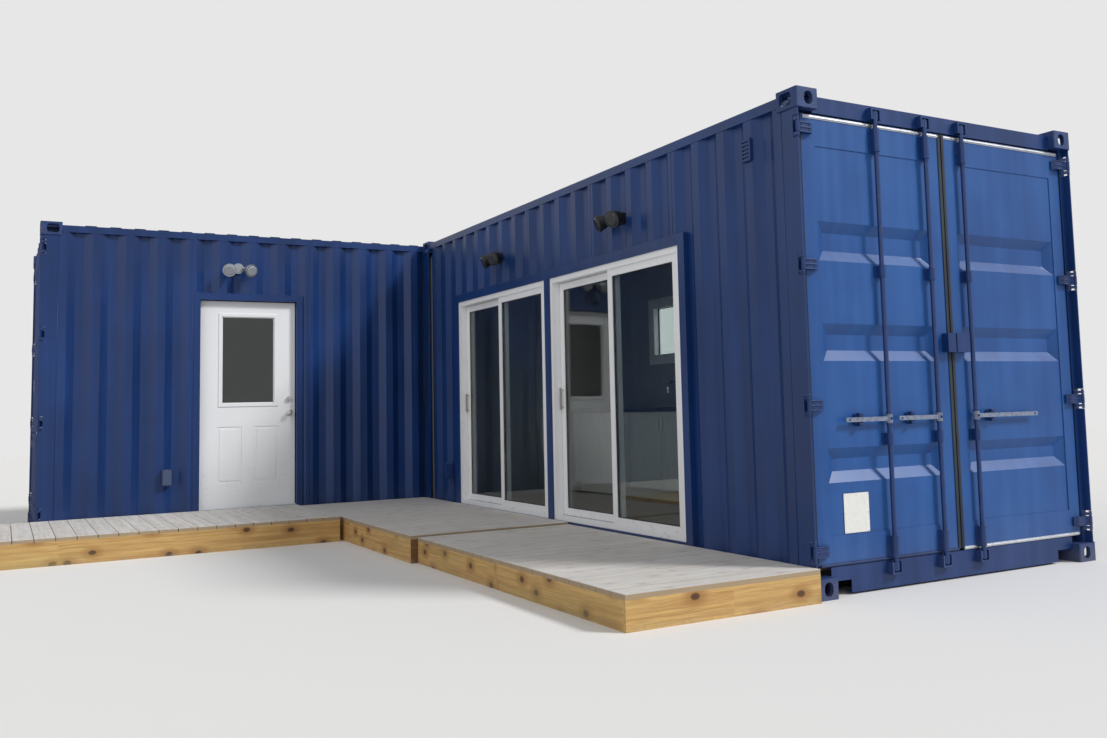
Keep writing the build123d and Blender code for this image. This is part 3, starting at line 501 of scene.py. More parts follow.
def addBlock(mesh, low, high, edge=0.0):
    low, high = Vector(low), Vector(high)
    middle, size = (low + high) / 2, high - low
    place = Matrix.Translation(middle) @ Matrix.Diagonal((*size, 1.0))
    made = bmesh.ops.create_cube(mesh, size=1.0, matrix=place)["verts"]
    if edge:
        edges = {link for corner in made for link in corner.link_edges}
        bmesh.ops.bevel(mesh, geom=list(edges), offset=edge, affect="EDGES", segments=2, profile=0.5,
                        material=-1)


def facing(axis):
    # turns the upright axis of a round piece to point along the axis given
    return Vector((0, 0, 1)).rotation_difference(Vector(axis)).to_matrix().to_4x4()


def addRound(mesh, foot, axis, lowRadius, highRadius, height, sides=12):
    middle = Vector(foot) + Vector(axis) * height / 2
    place = Matrix.Translation(middle) @ facing(axis)
    bmesh.ops.create_cone(mesh, cap_ends=True, segments=sides, radius1=lowRadius, radius2=highRadius,
                          depth=height, matrix=place)


def addBolt(mesh, foot, axis, size):
    # six-sided head on a washer
    washer = size * 0.12
    addRound(mesh, foot, axis, size * 0.75, size * 0.72, washer, 14)
    head = Vector(foot) + Vector(axis) * washer
    addRound(mesh, head, axis, size * 0.52, size * 0.5, size * 0.4, 6)


def addScrew(mesh, foot, axis, radius):
    addRound(mesh, foot, axis, radius, radius * 0.55, radius * 0.35, 8)


def newObject(name, data):
    made = bpy.data.objects.new(name, data)
    bpy.context.collection.objects.link(made)
    return made


def meshObject(name, mesh, finish):
    data = bpy.data.meshes.new(name)
    mesh.to_mesh(data)
    mesh.free()
    data.materials.append(finish)
    return newObject(name, data)


def finishPiece(name, mesh, finish, body="cabin", smooth=False):
    bmesh.ops.recalc_face_normals(mesh, faces=mesh.faces)
    piece = meshObject(name, mesh, finish)
    if smooth:
        piece.data.shade_smooth()
    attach(piece, body)


# Places on the cabins, measured in millimetres from each cabin's cargo end

shell = {
    "mainMiddle": 1.810,
    "mainFront": -7.2772,
    "wingLeft": -3.029,
    "length": 6058,
    "sheet": 1211,
    "endSheet": 6050,
    "postEnd": 150,
    "castingEnd": 178,
    "railTop": 165,
    "roofRail": 2808,
    "pitch": 278,
    "flat": 72,
    "slope": 68,
    "depth": 36,
}


def onMain(x, y, z):
    return Vector((shell["mainMiddle"] - y / 1000, shell["mainFront"] + x / 1000, z / 1000))


def onWing(x, y, z):
    return Vector((shell["wingLeft"] + x / 1000, y / 1000, z / 1000))


def wayOut(place, *way):
    return (place(*way) - place(0, 0, 0)).normalized()


def addBar(mesh, place, first, second, edge=0.0):
    one, two = place(*first), place(*second)
    low = [min(pair) for pair in zip(one, two)]
    high = [max(pair) for pair in zip(one, two)]
    addBlock(mesh, low, high, edge)


def addBead(mesh, start, end, radius, sides=6):
    way = Vector(end) - Vector(start)
    addRound(mesh, start, way.normalized(), radius, radius, way.length, sides)


def addFrame(mesh, place, xs, ys, zs, width, edge=0.0):
    # four bars round an upright opening
    for low, high in ((xs[0], xs[0] + width), (xs[1] - width, xs[1])):
        addBar(mesh, place, (low, ys[0], zs[0]), (high, ys[1], zs[1]), edge)
    for low, high in ((zs[0], zs[0] + width), (zs[1] - width, zs[1])):
        addBar(mesh, place, (xs[0] + width, ys[0], low), (xs[1] - width, ys[1], high), edge)


# Deck screws: two at each crossing of a board and a joist

deckScrews = {
    "board": 0.140,
    "joist": 0.038,
    "rim": 0.028,
    "edgeIn": 0.03,
    "radius": 0.0045,
    "shake": 0.004,
    "rimIn": 0.05,
    "rimLow": 0.045,
    "rimHigh": 0.06,
    "rimStep": 0.6,
    "rimRadius": 0.0035,
    "rimShake": 0.006,
    "seat": 0.0013,
}


def screwPlatform(mesh, name):
    lowX, highX, lowY, highY, top = platforms[name]
    joist, rim = deckScrews["joist"], deckScrews["rim"]
    xs, ys = (lowX, highX), (lowY, highY)
    (boardsLow, boardsHigh), (joistsLow, joistsHigh) = (xs, ys) if name == "wing" else (ys, xs)
    first, last = joistsLow + rim, joistsHigh - joist
    rows = [first + index * (last - first) / 3 + joist / 2 for index in range(4)]
    board = boardsLow
    while board + deckScrews["board"] < boardsHigh + 0.001:
        for row in rows:
            for inset in (deckScrews["edgeIn"], deckScrews["board"] - deckScrews["edgeIn"]):
                across = board + inset + random.uniform(-1, 1) * deckScrews["shake"]
                along = row + random.uniform(-1, 1) * deckScrews["shake"]
                spot = (across, along, top) if name == "wing" else (along, across, top)
                addScrew(mesh, spot, (0, 0, 1), deckScrews["radius"])
        board += wood["pitch"]


def screwRims(mesh, name):
    # pairs of screws where each joist meets the rim, and along the outer rim
    lowX, highX, lowY, highY, top = platforms[name]
    radius, seat = deckScrews["rimRadius"], deckScrews["seat"]
    shake, rimIn = deckScrews["rimShake"], deckScrews["rimIn"]
    heights = (deckScrews["rimLow"], top - deckScrews["rimHigh"])
    places = [lowX + rimIn, highX - rimIn]
    places += [lowX + rimIn + index * (highX - lowX - 2 * rimIn) / 3 for index in (1, 2)]
    for x in places:
        for z in heights:
            addScrew(mesh, (x + random.uniform(-shake, shake), lowY + seat, z), (0, -1, 0), radius)
    count = int((highY - lowY) / deckScrews["rimStep"])
    for index in range(count + 1):
        y = lowY + rimIn + index * (highY - lowY - 2 * rimIn) / count
        for z in heights:
            addScrew(mesh, (lowX + seat, y + random.uniform(-shake, shake), z), (-1, 0, 0), radius)


def screwDeck():
    mesh = bmesh.new()
    for name in platforms:
        screwPlatform(mesh, name)
        screwRims(mesh, name)
    finishPiece("deckScrews", mesh, zincSteel)


screwDeck()
print("deck screws added")


# Cargo ends: bright strips, gasket lips, rivets, hinge ribs and hubs

cargoEnd = {
    "face": 56,
    "field": 61,
    "leafLow": 181,
    "leafHigh": 2756,
    "leafInner": 13,
    "leafOuter": 1147,
    "stripSpan": (25, 1133),
    "stripHeights": (2743, 179),
    "stripHalf": 10,
    "stripDepth": 9,
    "lap": 3,
    "lip": (50, 62),
    "lipGap": 5,
    "lipOnLeaf": 14,
    "rod": 28,
    "rodInner": 165,
    "rodOuter": 584,
    "endGuides": ((183, 303), (2580, 2720)),
    "middleGuides": ((834, 902), (1822, 1892)),
    "endRivetIn": 16,
    "middleRivetIn": 15,
    "handle": 985,
    "reach": 230,
    "longReach": 145,
    "guideEar": 28.5,
    "guidePlate": 8,
    "hinges": (260, 1072, 1874, 2667),
    "blade": (1096, 1184),
    "bladeFront": 27,
    "bladeRibs": ((-30, -24), (24, 30), (-4, 4)),
    "ribDepth": 4.5,
    "bladeRivets": ((1108, 1166), (-14, 14)),
    "pin": (14, 1206),
    "pinHalf": 60,
    "pinCap": (0.0115, 0.009, 0.004),
    "rivet": 0.0055,
    "catchBolts": (16, 28, 0.007),
    "footBolts": (38, 30, 0.0045),
    "hubBolt": (20, 0.011),
    "handleEnd": (10, 26),
    "hubCollars": (-36, 32),
    "hubCollar": (0.0165, 0.0165, 0.004),
    "guideCollars": (320, 2562),
    "guideCollar": (0.0155, 0.0165, 0.006),
}


def addRivet(mesh, spot, way, radius):
    rim = radius * 0.3
    addRound(mesh, spot, way, radius, radius * 0.9, rim, 10)
    crown = Vector(spot) + Vector(way) * rim
    addRound(mesh, crown, way, radius * 0.85, radius * 0.35, radius * 0.35, 10)


def leafStrips(name, place, side, body):
    # bright cover strips, but for the painted one at the left leaf's foot
    bright, painted = bmesh.new(), bmesh.new()
    face, half, depth = cargoEnd["face"], cargoEnd["stripHalf"], cargoEnd["stripDepth"]
    inner, outer = (side * end for end in cargoEnd["stripSpan"])
    foot = painted if side > 0 else bright
    lap = face - cargoEnd["lap"]
    for mesh, z in zip((bright, foot), cargoEnd["stripHeights"]):
        addBar(mesh, place, (lap, inner, z - half), (face, outer, z + half), 0.0008)
        low, high = z - half * 0.45, z + half * 0.35
        addBar(mesh, place, (face - depth, inner, low), (lap, outer, high), 0.002)
    finishPiece(name, bright, zincSteel, body)
    if side > 0:
        finishPiece(name + "Foot", painted, fittingPaint, body)
    else:
        painted.free()


def gasketLips(name, place, side, body):
    mesh = bmesh.new()
    inner, outer = cargoEnd["leafInner"], cargoEnd["leafOuter"]
    low, high = cargoEnd["leafLow"], cargoEnd["leafHigh"]
    face, gap, onLeaf = cargoEnd["face"], cargoEnd["lipGap"], cargoEnd["lipOnLeaf"]
    front, back = cargoEnd["lip"]
    addBar(mesh, place, (front, side * gap, low), (back, side * inner, high), 0.002)
    addBar(mesh, place, (front, side * inner, low), (face, side * (inner + onLeaf), high), 0.002)
    addBar(mesh, place, (face, side * outer, low), (back, side * (outer + gap), high), 0.0015)
    finishPiece(name, mesh, gasketRubber, body)


def guideRivets(mesh, place, y):
    way = wayOut(place, -1, 0, 0)
    ear, plate = cargoEnd["guideEar"], cargoEnd["guidePlate"]
    inset = cargoEnd["endRivetIn"]
    rows = [(cargoEnd["face"], z) for low, high in cargoEnd["endGuides"]
            for z in (low + inset, (low + high) / 2, high - inset)]
    inset = cargoEnd["middleRivetIn"]
    rows += [(cargoEnd["field"], z) for low, high in cargoEnd["middleGuides"]
             for z in (low + inset, high - inset)]
    for sheet, z in rows:
        for across in (-ear, ear):
            addRivet(mesh, place(sheet - plate, y + across, z), way, cargoEnd["rivet"])


def hingeRibs(mesh, place, side):
    # raised edges and a cross rib on each hinge blade, and two rivets to the leaf
    way = wayOut(place, -1, 0, 0)
    (inner, outer), front = cargoEnd["blade"], cargoEnd["bladeFront"]
    places, heights = cargoEnd["bladeRivets"]
    for height in cargoEnd["hinges"]:
        for low, high in cargoEnd["bladeRibs"]:
            first = (front - cargoEnd["ribDepth"], side * inner, height + low)
            addBar(mesh, place, first, (front, side * outer, height + high), 0.0012)
        for y in places:
            for z in heights:
                addRivet(mesh, place(front, side * y, height + z), way, cargoEnd["rivet"])


def pinCaps(mesh, place, side):
    x, y = cargoEnd["pin"]
    for height in cargoEnd["hinges"]:
        for way in (1, -1):
            end = height + way * cargoEnd["pinHalf"]
            addRound(mesh, place(x, side * y, end), (0, 0, way), *cargoEnd["pinCap"], 14)


def catchBolts(mesh, place, y):
    # two on the catch's cover and four on its round foot
    way = wayOut(place, -1, 0, 0)
    handle = cargoEnd["handle"]
    face, apart, radius = cargoEnd["catchBolts"]
    for up in (apart, -apart):
        addRivet(mesh, place(face, y, handle + up), way, radius)
    face, circle, radius = cargoEnd["footBolts"]
    for turn in range(4):
        angle = math.radians(45 + 90 * turn)
        across, up = circle * math.cos(angle), circle * math.sin(angle)
        addRivet(mesh, place(face, y + across, handle + up), way, radius)


def rodCollars(name, place, y, side, reach, body):
    # pivot bolt on the hub, and collars where the rod leaves its guides
    mesh = bmesh.new()
    way = wayOut(place, -1, 0, 0)
    rod, handle = cargoEnd["rod"], cargoEnd["handle"]
    proud, size = cargoEnd["hubBolt"]
    addBolt(mesh, place(rod - proud, y, handle), way, size)
    proud, inset = cargoEnd["handleEnd"]
    end = place(rod - proud, y + side * (reach - inset), handle)
    addRound(mesh, end, way, 0.006, 0.005, 0.003, 10)
    for up in cargoEnd["hubCollars"]:
        addRound(mesh, place(rod, y, handle + up), (0, 0, 1), *cargoEnd["hubCollar"], 16)
    for z in cargoEnd["guideCollars"]:
        addRound(mesh, place(rod, y, z), (0, 0, 1), *cargoEnd["guideCollar"], 16)
    finishPiece(name, mesh, fittingPaint, body)


def barePlate():
    # small off-white plate on the left leaf, with nothing on it but its rivets
    plate = {"xs": (744, 943), "zs": (340, 570), "front": 59, "sheet": 1.2, "inset": 3, "rivetIn": 11}
    mesh, rivets = bmesh.new(), bmesh.new()
    front = plate["front"] - plate["sheet"]
    (near, far), (low, high) = plate["xs"], plate["zs"]
    inset, rivetIn = plate["inset"], plate["rivetIn"]
    second = (plate["front"], far - inset, high - inset)
    addBar(mesh, onMain, (front, near + inset, low + inset), second, 0.0004)
    finishPiece("barePlate", mesh, plateFinish(), "cargo_door_left")
    middle = ((near + far) / 2, (low + high) / 2)
    for y in (near + rivetIn, middle[0], far - rivetIn):
        for z in (low + rivetIn, middle[1], high - rivetIn):
            if (y, z) != middle:
                addRivet(rivets, onMain(front, y, z), (0, -1, 0), 0.0042)
    finishPiece("plateRivets", rivets, zincSteel, "cargo_door_left")


def dressCargoEnd(label, place, leftBody, rightBody, rods):
    for side, name, body in ((1, "Left", leftBody), (-1, "Right", rightBody)):
        leafStrips(label + name + "Strips", place, side, body)
        gasketLips(label + name + "Gasket", place, side, body)
        mesh = bmesh.new()
        hingeRibs(mesh, place, side)
        for rod in rods:
            if rod["side"] == side:
                guideRivets(mesh, place, rod["y"])
                catchBolts(mesh, place, rod["y"] + side * rod["catch"])
        finishPiece(label + name + "Rivets", mesh, fittingPaint, body)
    mesh = bmesh.new()
    for side in (-1, 1):
        pinCaps(mesh, place, side)
    finishPiece(label + "PinCaps", mesh, fittingPaint)
    for index, rod in enumerate(rods):
        name = label + "RodHub" + str(index + 1)
        rodCollars(name, place, rod["y"], rod["side"], rod["handle"], rod["body"])


def rodEntry(y, side, catch, handle, body):
    return {"y": y, "side": side, "catch": catch, "handle": handle, "body": body}


shortRod = (cargoEnd["reach"], 345)
longRod = (cargoEnd["longReach"], 575)
inner, outer = cargoEnd["rodInner"], cargoEnd["rodOuter"]
mainRods = [
    rodEntry(outer, 1, *shortRod, "lock_rod_one"),
    rodEntry(inner, 1, *shortRod, "lock_rod_two"),
    rodEntry(-inner, -1, *longRod, "lock_rod_three"),
]
wingRods = [rodEntry(y, side, *shortRod, "cabin")
            for y, side in ((outer, 1), (inner, 1), (-inner, -1), (-outer, -1))]
dressCargoEnd("main", onMain, "cargo_door_left", "cargo_door_right", mainRods)
dressCargoEnd("wing", onWing, "cabin", "cabin", wingRods)
barePlate()
print("cargo ends dressed")


# Weld beads along the sheets, rails, posts and castings

beads = {
    "radius": 0.0028,
    "seamRadius": 0.002,
    "footRadius": 0.004,
    "cornerRadius": 0.003,
    "panel": 4,
    "castings": (120, 2776),
    "foot": 20,
    "top": 2868,
    "clear": 2,
}

# openings as first place, last place, foot and top
openings = {
    "glazed": (1172, 5174, 165, 2237),
    "window": (4245, 5155, 1610, 2210),
    "entry": (1312, 2342, 165, 2290),
}


def foldDepth(at, first):
    phase = (at - first) % shell["pitch"]
    flat, slope, depth = shell["flat"], shell["slope"], shell["depth"]
    if phase <= flat:
        return 0
    if phase <= flat + slope:
        return depth * (phase - flat) / slope
    if phase <= shell["pitch"] - slope:
        return depth
    return depth * (shell["pitch"] - phase) / slope


def foldPlaces(start, end, first):
    places = [start]
    at = first
    flat, slope, pitch = shell["flat"], shell["slope"], shell["pitch"]
    while at < end:
        for step in (0, flat, flat + slope, pitch - slope):
            if start < at + step < end:
                places.append(at + step)
        at += pitch
    return places + [end]


def beadThrough(mesh, spots):
    for one, two in zip(spots, spots[1:]):
        addBead(mesh, one, two, beads["radius"], 5)


def beadAlongSide(mesh, place, side, start, end, z):
    first, sheet = shell["postEnd"], shell["sheet"]
    beadThrough(mesh, [place(at, side * (sheet - foldDepth(at, first)), z)
                       for at in foldPlaces(start, end, first)])


def beadAlongEnd(mesh, place, z):
    edge = shell["sheet"] - shell["postEnd"]
    first = 12 - edge
    beadThrough(mesh, [place(shell["endSheet"] - foldDepth(at, first), at, z)
                       for at in foldPlaces(-edge, edge, first)])


def uprightBead(mesh, place, x, sheet, low, high, radius):
    addBead(mesh, place(x, sheet, low), place(x, sheet, high), radius)


def beadCastings(mesh, place):
    railTop, roofRail, postEnd = shell["railTop"], shell["roofRail"], shell["postEnd"]
    farPost = shell["endSheet"] - postEnd
    casting = shell["castingEnd"] + beads["clear"]
    for side in (-1, 1):
        sheet = side * shell["sheet"]
        for start, end in ((4, postEnd), (farPost, shell["endSheet"])):
            for z in beads["castings"]:
                addBead(mesh, place(start, sheet, z), place(end, sheet, z), beads["footRadius"])
        for x in (casting, shell["length"] - casting):
            uprightBead(mesh, place, x, sheet, beads["foot"], railTop, beads["cornerRadius"])
            uprightBead(mesh, place, x, sheet, roofRail, beads["top"], beads["cornerRadius"])
        for x in (postEnd, farPost):
            uprightBead(mesh, place, x, sheet, railTop, roofRail, beads["radius"])


def panelSeams(mesh, place, side, spans):
    # upright seam at every fourth pressing, in the spans of wall that are there
    for x, low, high in spans:
        uprightBead(mesh, place, x, side * shell["sheet"], low, high, beads["seamRadius"])


def wallSpans(hole):
    spans = []
    for index in range(1, 6):
        x = shell["postEnd"] + shell["flat"] / 2 + beads["panel"] * shell["pitch"] * index
        if hole and hole[0] < x < hole[1]:
            if hole[2] > shell["railTop"]:
                spans.append((x, shell["railTop"], hole[2]))
            spans.append((x, hole[3], shell["roofRail"]))
        else:
            spans.append((x, shell["railTop"], shell["roofRail"]))
    return spans


def beadCabin(name, place, openSide, opening, backHole):
    mesh = bmesh.new()
    start, end = shell["postEnd"], shell["endSheet"] - shell["postEnd"]
    low, high = shell["railTop"] + beads["clear"], shell["roofRail"] - beads["clear"]
    beadAlongSide(mesh, place, openSide, start, opening[0], low)
    beadAlongSide(mesh, place, openSide, opening[1], end, low)
    beadAlongSide(mesh, place, openSide, opening[0], opening[1], opening[3] + beads["clear"])
    beadAlongSide(mesh, place, -openSide, start, end, low)
    for side in (-1, 1):
        beadAlongSide(mesh, place, side, start, end, high)
    beadAlongEnd(mesh, place, low)
    beadAlongEnd(mesh, place, high)
    beadCastings(mesh, place)
    panelSeams(mesh, place, openSide, wallSpans(opening))
    panelSeams(mesh, place, -openSide, wallSpans(backHole))
    finishPiece(name, mesh, framePaint, smooth=True)


beadCabin("mainWelds", onMain, 1, openings["glazed"], openings["window"])
beadCabin("wingWelds", onWing, -1, openings["entry"], None)
print("weld beads added")


# Rubber strips that close the joint between the two cabins

cabinJoint = {
    "inner": ((0.600, -1.2275, 0.180), (0.625, -1.176, 2.716)),
    "outer": ((2.995, -1.2275, 0.180), (3.020, -1.2105, 2.716)),
}


def closeJoint():
    mesh = bmesh.new()
    for low, high in cabinJoint.values():
        addBlock(mesh, low, high, 0.002)
    finishPiece("jointSeals", mesh, darkRubber)


closeJoint()


# Glazed doors and window: gaskets, covers over the drain slots and the inner casing

glazing = {
    "gasket": 6,
    "gasketProud": 3,
    "units": (1247, 3219),
    # panes as first place, last place, foot, top, outer face and inner face
    "fixedGlass": (104, 909, 288, 2066, 1181, 1161),
    "slidingGlass": (971, 1770, 294, 2060, 1133, 1113),
    "window": (4290, 5110, 1655, 2165, -1193, -1173),
    "drains": (300, 940, 1580),
    "drainWidth": 42,
    "drainCover": ((1205, 206), (1208, 215)),
    # frames as first and last place, foot and top, the two faces, width and rounding
    "casing": ((4185, 5215), (1550, 2270), (-1123, -1108), 60, 0.003),
    "trim": ((4205, 5195), (1570, 2250), (-1218.5, -1210.5), 45, 0.001),
}


def gasketPair(mesh, limits):
    first, last, low, high, outer, inner = limits
    proud = glazing["gasketProud"] * (1 if outer > inner else -1)
    for faces in ((outer, outer + proud), (inner - proud, inner)):
        addFrame(mesh, onMain, (first, last), faces, (low, high), glazing["gasket"], 0.001)


def shifted(limits, start):
    return (limits[0] + start, limits[1] + start) + limits[2:]


def glazePatio():
    fixed = bmesh.new()
    covers = bmesh.new()
    for start, label in zip(glazing["units"], ("Near", "Far")):
        gasketPair(fixed, shifted(glazing["fixedGlass"], start))
        moving = bmesh.new()
        gasketPair(moving, shifted(glazing["slidingGlass"], start))
        finishPiece("slidingGasket" + label, moving, glazingRubber, "patio_door_" + label.lower())
        for drain in glazing["drains"]:
            first, last = start + drain, start + drain + glazing["drainWidth"]
            near, far = glazing["drainCover"]
            addBar(covers, onMain, (first, *near), (last, *far), 0.001)
    gasketPair(fixed, glazing["window"])
    finishPiece("fixedGaskets", fixed, glazingRubber)
    finishPiece("drainCovers", covers, whiteVinyl)


def frameWindow(name, part, finish):
    mesh = bmesh.new()
    places, heights, faces, width, edge = part
    addFrame(mesh, onMain, places, faces, heights, width, edge)
    finishPiece(name, mesh, finish)


glazePatio()
frameWindow("windowCasing", glazing["casing"], whiteVinyl)
frameWindow("windowTrim", glazing["trim"], framePaint)  # flat bar over the folds of the back wall
print("glazing trimmed")


# Entry door: glazing bead, threshold strip and keyholes

entry = {
    "glass": (1577, 2077, 1219, 2069),
    "outer": -1145,
    "inner": -1126,
    "bead": 9,
    "beadDepth": 7,
    "threshold": ((1371, -1215, 212), (2283, -1166, 219)),
    "ridges": (-1206, -1194, -1182),
    "ridge": (4, 2),
    "lock": 2215,
    "knob": (1120, -1220),
    "deadbolt": (1256, -1176),
}


def dressEntry():
    mesh = bmesh.new()
    first, last, low, high = entry["glass"]
    outer, inner, depth = entry["outer"], entry["inner"], entry["beadDepth"]
    for faces in ((outer - depth, outer), (inner, inner + depth)):
        addFrame(mesh, onWing, (first, last), faces, (low, high), entry["bead"], 0.003)
    finishPiece("entryGlassBead", mesh, whiteVinyl, "entry_door")
    sill = bmesh.new()
    (first, _, _), (last, _, top) = entry["threshold"]
    addBar(sill, onWing, *entry["threshold"], 0.002)
    wide, proud = entry["ridge"]
    for ridge in entry["ridges"]:
        addBar(sill, onWing, (first, ridge, top), (last, ridge + wide, top + proud), 0.0008)
    finishPiece("thresholdStrip", sill, zincSteel)
    locks = bmesh.new()
    slots = bmesh.new()
    lock = entry["lock"]
    for (height, face), radius in ((entry["knob"], 0.009), (entry["deadbolt"], 0.013)):
        spot = onWing(lock, face, height)
        addRound(locks, spot, (0, -1, 0), radius, radius * 0.9, 0.0025, 20)
        first = (lock - 0.9, face - 3.2, height - 5)
        addBar(slots, onWing, first, (lock + 0.9, face - 2.2, height + 5))
    finishPiece("keyFaces", locks, satinNickel, "entry_door")
    finishPiece("keySlots", slots, darkRubber, "entry_door")


dressEntry()
print("entry door dressed")


# Lamps, outlet covers and vent

outlets = {
    "main": (5329, 505),
    "wing": (1079, 539),
    "hinge": ((-30, 60, 68), (30, 60, 68)),
    "latch": ((-10, 62, -60), (10, 66, -50)),
    "screws": (-70, 71),
}
vent = {"spot": (464, 2623), "across": (-39, 39), "up": (-61, 61)}
lampParts = {
    "tilt": 22,
    "splay": 18,
    "headFoot": (82, 60, -8),
    "headLength": 75,
    # each as how far along the head in metres, two radii and a length
    "rim": (-0.006, 0.065, 0.062, 0.008),
    "lens": (0.002, 0.052, 0.0416, 0.007),
    "finStart": 0.02,
    "finRadius": 0.0615,
    "finStep": 0.014,
    "finTaper": 0.0035,
    "screws": (-36, 36),
    "spots": ((1993, 2470), (4078, 2470)),
    "wingSpot": (1715, 2537),
}


def mainWall(x, height):
    def place(across, out, up):
        return onMain(x + across, shell["sheet"] + out, height + up)
    return place


def wingWall(x, height):
    def place(across, out, up):
        return onWing(x - across, -shell["sheet"] - out, height + up)
    return place


def dressLamp(rims, lenses, place):
    tilt, splay = math.radians(lampParts["tilt"]), math.radians(lampParts["splay"])
    for side in (-1, 1):
        level = math.cos(splay)
        way = Vector((side * math.sin(splay), level * math.cos(tilt), -level * math.sin(tilt)))
        across, forward, up = lampParts["headFoot"]
        spot = place(*(Vector((side * across, forward, up)) + way * lampParts["headLength"]))
        out = wayOut(place, *way)
        for mesh, (along, *sizes) in ((rims, lampParts["rim"]), (lenses, lampParts["lens"])):
            addRound(mesh, spot + out * along, out, *sizes, 28)
        for index in range(3):
            ring = spot - out * (lampParts["finStart"] + index * lampParts["finStep"])
            radius = lampParts["finRadius"] - index * lampParts["finTaper"]
            addRound(rims, ring, out, radius, radius, 0.004, 24)
    for across in lampParts["screws"]:
        addRivet(rims, place(across, 20, 0), wayOut(place, 0, 1, 0), 0.005)


def dressLamps():
    rims, lenses = bmesh.new(), bmesh.new()
    for spot in lampParts["spots"]:
        dressLamp(rims, lenses, mainWall(*spot))
    dressLamp(rims, lenses, wingWall(*lampParts["wingSpot"]))
    finishPiece("lampRims", rims, lampFinish)
    finishPiece("lampLenses", lenses, lensFinish())


def dressBoxes():
    hinges, screws = bmesh.new(), bmesh.new()
    for place in (mainWall(*outlets["main"]), wingWall(*outlets["wing"])):
        start, end = outlets["hinge"]
        addBead(hinges, place(*start), place(*end), 0.004, 10)
        addBar(hinges, place, *outlets["latch"], 0.001)
        for height in outlets["screws"]:
            addRivet(screws, place(0, 48, height), wayOut(place, 0, 1, 0), 0.0035)
    finishPiece("outletHinges", hinges, boxFinish)
    finishPiece("outletScrews", screws, zincSteel)


def dressVent():
    mesh = bmesh.new()
    place = mainWall(*vent["spot"])
    for across in vent["across"]:
        for up in vent["up"]:
            addRivet(mesh, place(across, 20, up), (-1, 0, 0), 0.004)
    finishPiece("ventRivets", mesh, fittingPaint)


dressLamps()
dressBoxes()
dressVent()
print("lamps, outlets and vent dressed")


# Counter fronts

counter = {
    "start": 3562,
    "doors": 4,
    "width": 600,
    "gap": 4,
    "face": -563,
    "thick": 16,
    "low": 272,
    "high": 1030,
    "frame": 62,
    "pullIn": 34,
    "pullOut": 26,
    "pull": (850, 990),
    "pullFeet": (862, 978),
}


def counterFronts():
    mesh, pulls = bmesh.new(), bmesh.new()
    face, front = counter["face"], counter["face"] + counter["thick"]
    for index in range(counter["doors"]):
        first = counter["start"] + index * counter["width"] + counter["gap"]
        last = first + counter["width"] - 2 * counter["gap"]
        addBar(mesh, onMain, (first, face, counter["low"]), (last, front, counter["high"]), 0.002)
        addFrame(mesh, onMain, (first, last), (front, front + 5), (counter["low"], counter["high"]),
                 counter["frame"], 0.0015)
        handle = last - counter["pullIn"] if index % 2 == 0 else first + counter["pullIn"]
        grip = front + counter["pullOut"]
        low, high = counter["pull"]
        addBead(pulls, onMain(handle, grip, low), onMain(handle, grip, high), 0.005, 10)
        for z in counter["pullFeet"]:
            addBead(pulls, onMain(handle, front + 4, z), onMain(handle, grip, z), 0.004, 8)
    finishPiece("counterDoors", mesh, cabinetPaint)
    finishPiece("counterPulls", pulls, satinNickel)


counterFronts()
print("counter dressed")


# Floor, light and camera

stage = {
    "floorSize": 60.0,
    "floorMiddle": (0, -3, 0),
    "floorColour": (0.78, 0.775, 0.765, 1.0),
    "dome": 0.55,
    "white": 1.0,
    # strength, where from, and how wide in degrees
    "key": (2.3, (0.62, -0.62, 0.75), 12),
    "fill": (0.5, (-0.7, -0.6, 0.5), 40),
}


def studioFloor():
    mesh = bmesh.new()
    bmesh.ops.create_grid(mesh, x_segments=1, y_segments=1, size=stage["floorSize"] / 2)
    finish = Finish("floorFinish")
    finish.set(baseColour=stage["floorColour"], roughness=0.9)
    sheet = meshObject("floorSheet", mesh, finish.material)
    sheet.location = stage["floorMiddle"]


def sunLamp(name, strength, origin, angle):
    data = bpy.data.lights.new(name, "SUN")
    data.energy = strength
    data.angle = math.radians(angle)
    lamp = newObject(name, data)
    lamp.rotation_euler = Vector(origin).to_track_quat("Z", "Y").to_euler()


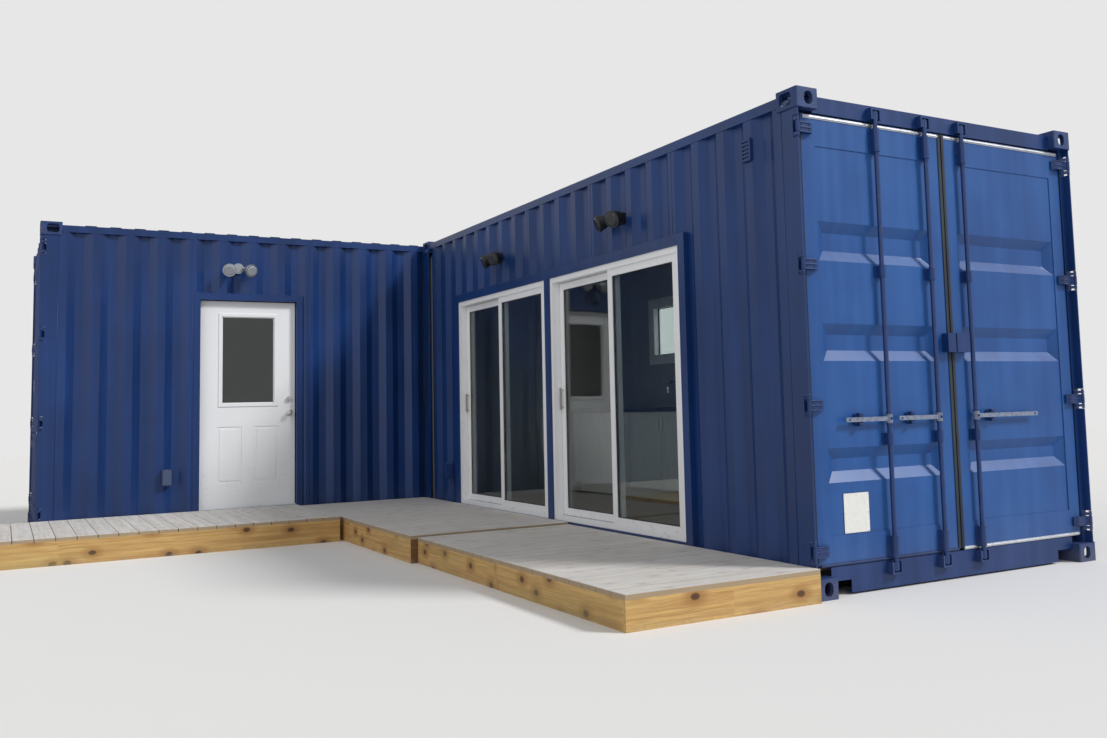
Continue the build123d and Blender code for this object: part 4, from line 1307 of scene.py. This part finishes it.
def studioSky():
    # soft light on the object, and plain white where the camera, a shine or the glass looks past it
    world = bpy.data.worlds.new("studioSky")
    bpy.context.scene.world = world
    world.use_nodes = True
    tree = world.node_tree
    tree.nodes.clear()
    rays = tree.nodes.new("ShaderNodeLightPath")
    seen = rays.outputs["Is Camera Ray"]
    for other in ("Is Glossy Ray", "Is Transmission Ray"):
        either = tree.nodes.new("ShaderNodeMath")
        either.operation = "MAXIMUM"
        tree.links.new(seen, either.inputs[0])
        tree.links.new(rays.outputs[other], either.inputs[1])
        seen = either.outputs[0]
    pick = tree.nodes.new("ShaderNodeMixShader")
    tree.links.new(seen, pick.inputs[0])
    for index, strength in ((1, stage["dome"]), (2, stage["white"])):
        sky = tree.nodes.new("ShaderNodeBackground")
        sky.inputs["Strength"].default_value = strength
        tree.links.new(sky.outputs[0], pick.inputs[index])
    out = tree.nodes.new("ShaderNodeOutputWorld")
    tree.links.new(pick.outputs[0], out.inputs["Surface"])


lens = {
    "place": (-3.287, -11.674, 1.086),
    "yaw": 30.08,
    "pitch": 4.95,
    "roll": -1.41,
    "sensor": 36,
    "focalPixels": 1031.1,
    "axisPixel": (599.5, 319.0),
    "picture": (1107, 738),
}


def setCamera():
    yaw, pitch, roll = (math.radians(lens[name]) for name in ("yaw", "pitch", "roll"))
    ahead = Vector((math.sin(yaw) * math.cos(pitch), math.cos(yaw) * math.cos(pitch), math.sin(pitch)))
    side = Vector((math.cos(yaw), -math.sin(yaw), 0))
    above = side.cross(ahead)
    right = side * math.cos(roll) + above * math.sin(roll)
    up = above * math.cos(roll) - side * math.sin(roll)
    data = bpy.data.cameras.new("photoCamera")
    width, height = lens["picture"]
    data.sensor_width = lens["sensor"]
    data.lens = lens["sensor"] * lens["focalPixels"] / width
    data.shift_x = (width / 2 - lens["axisPixel"][0]) / width
    data.shift_y = (lens["axisPixel"][1] - height / 2) / width
    data.clip_end = 200
    camera = newObject("photoCamera", data)
    turn = Matrix((right, up, -ahead)).transposed().to_4x4()
    camera.matrix_world = Matrix.Translation(lens["place"]) @ turn
    bpy.context.scene.camera = camera


studioFloor()
studioSky()
sunLamp("keyLamp", *stage["key"])
sunLamp("fillLamp", *stage["fill"])
setCamera()
bpy.context.scene.view_settings.view_transform = "Standard"
print("floor, light and camera set")
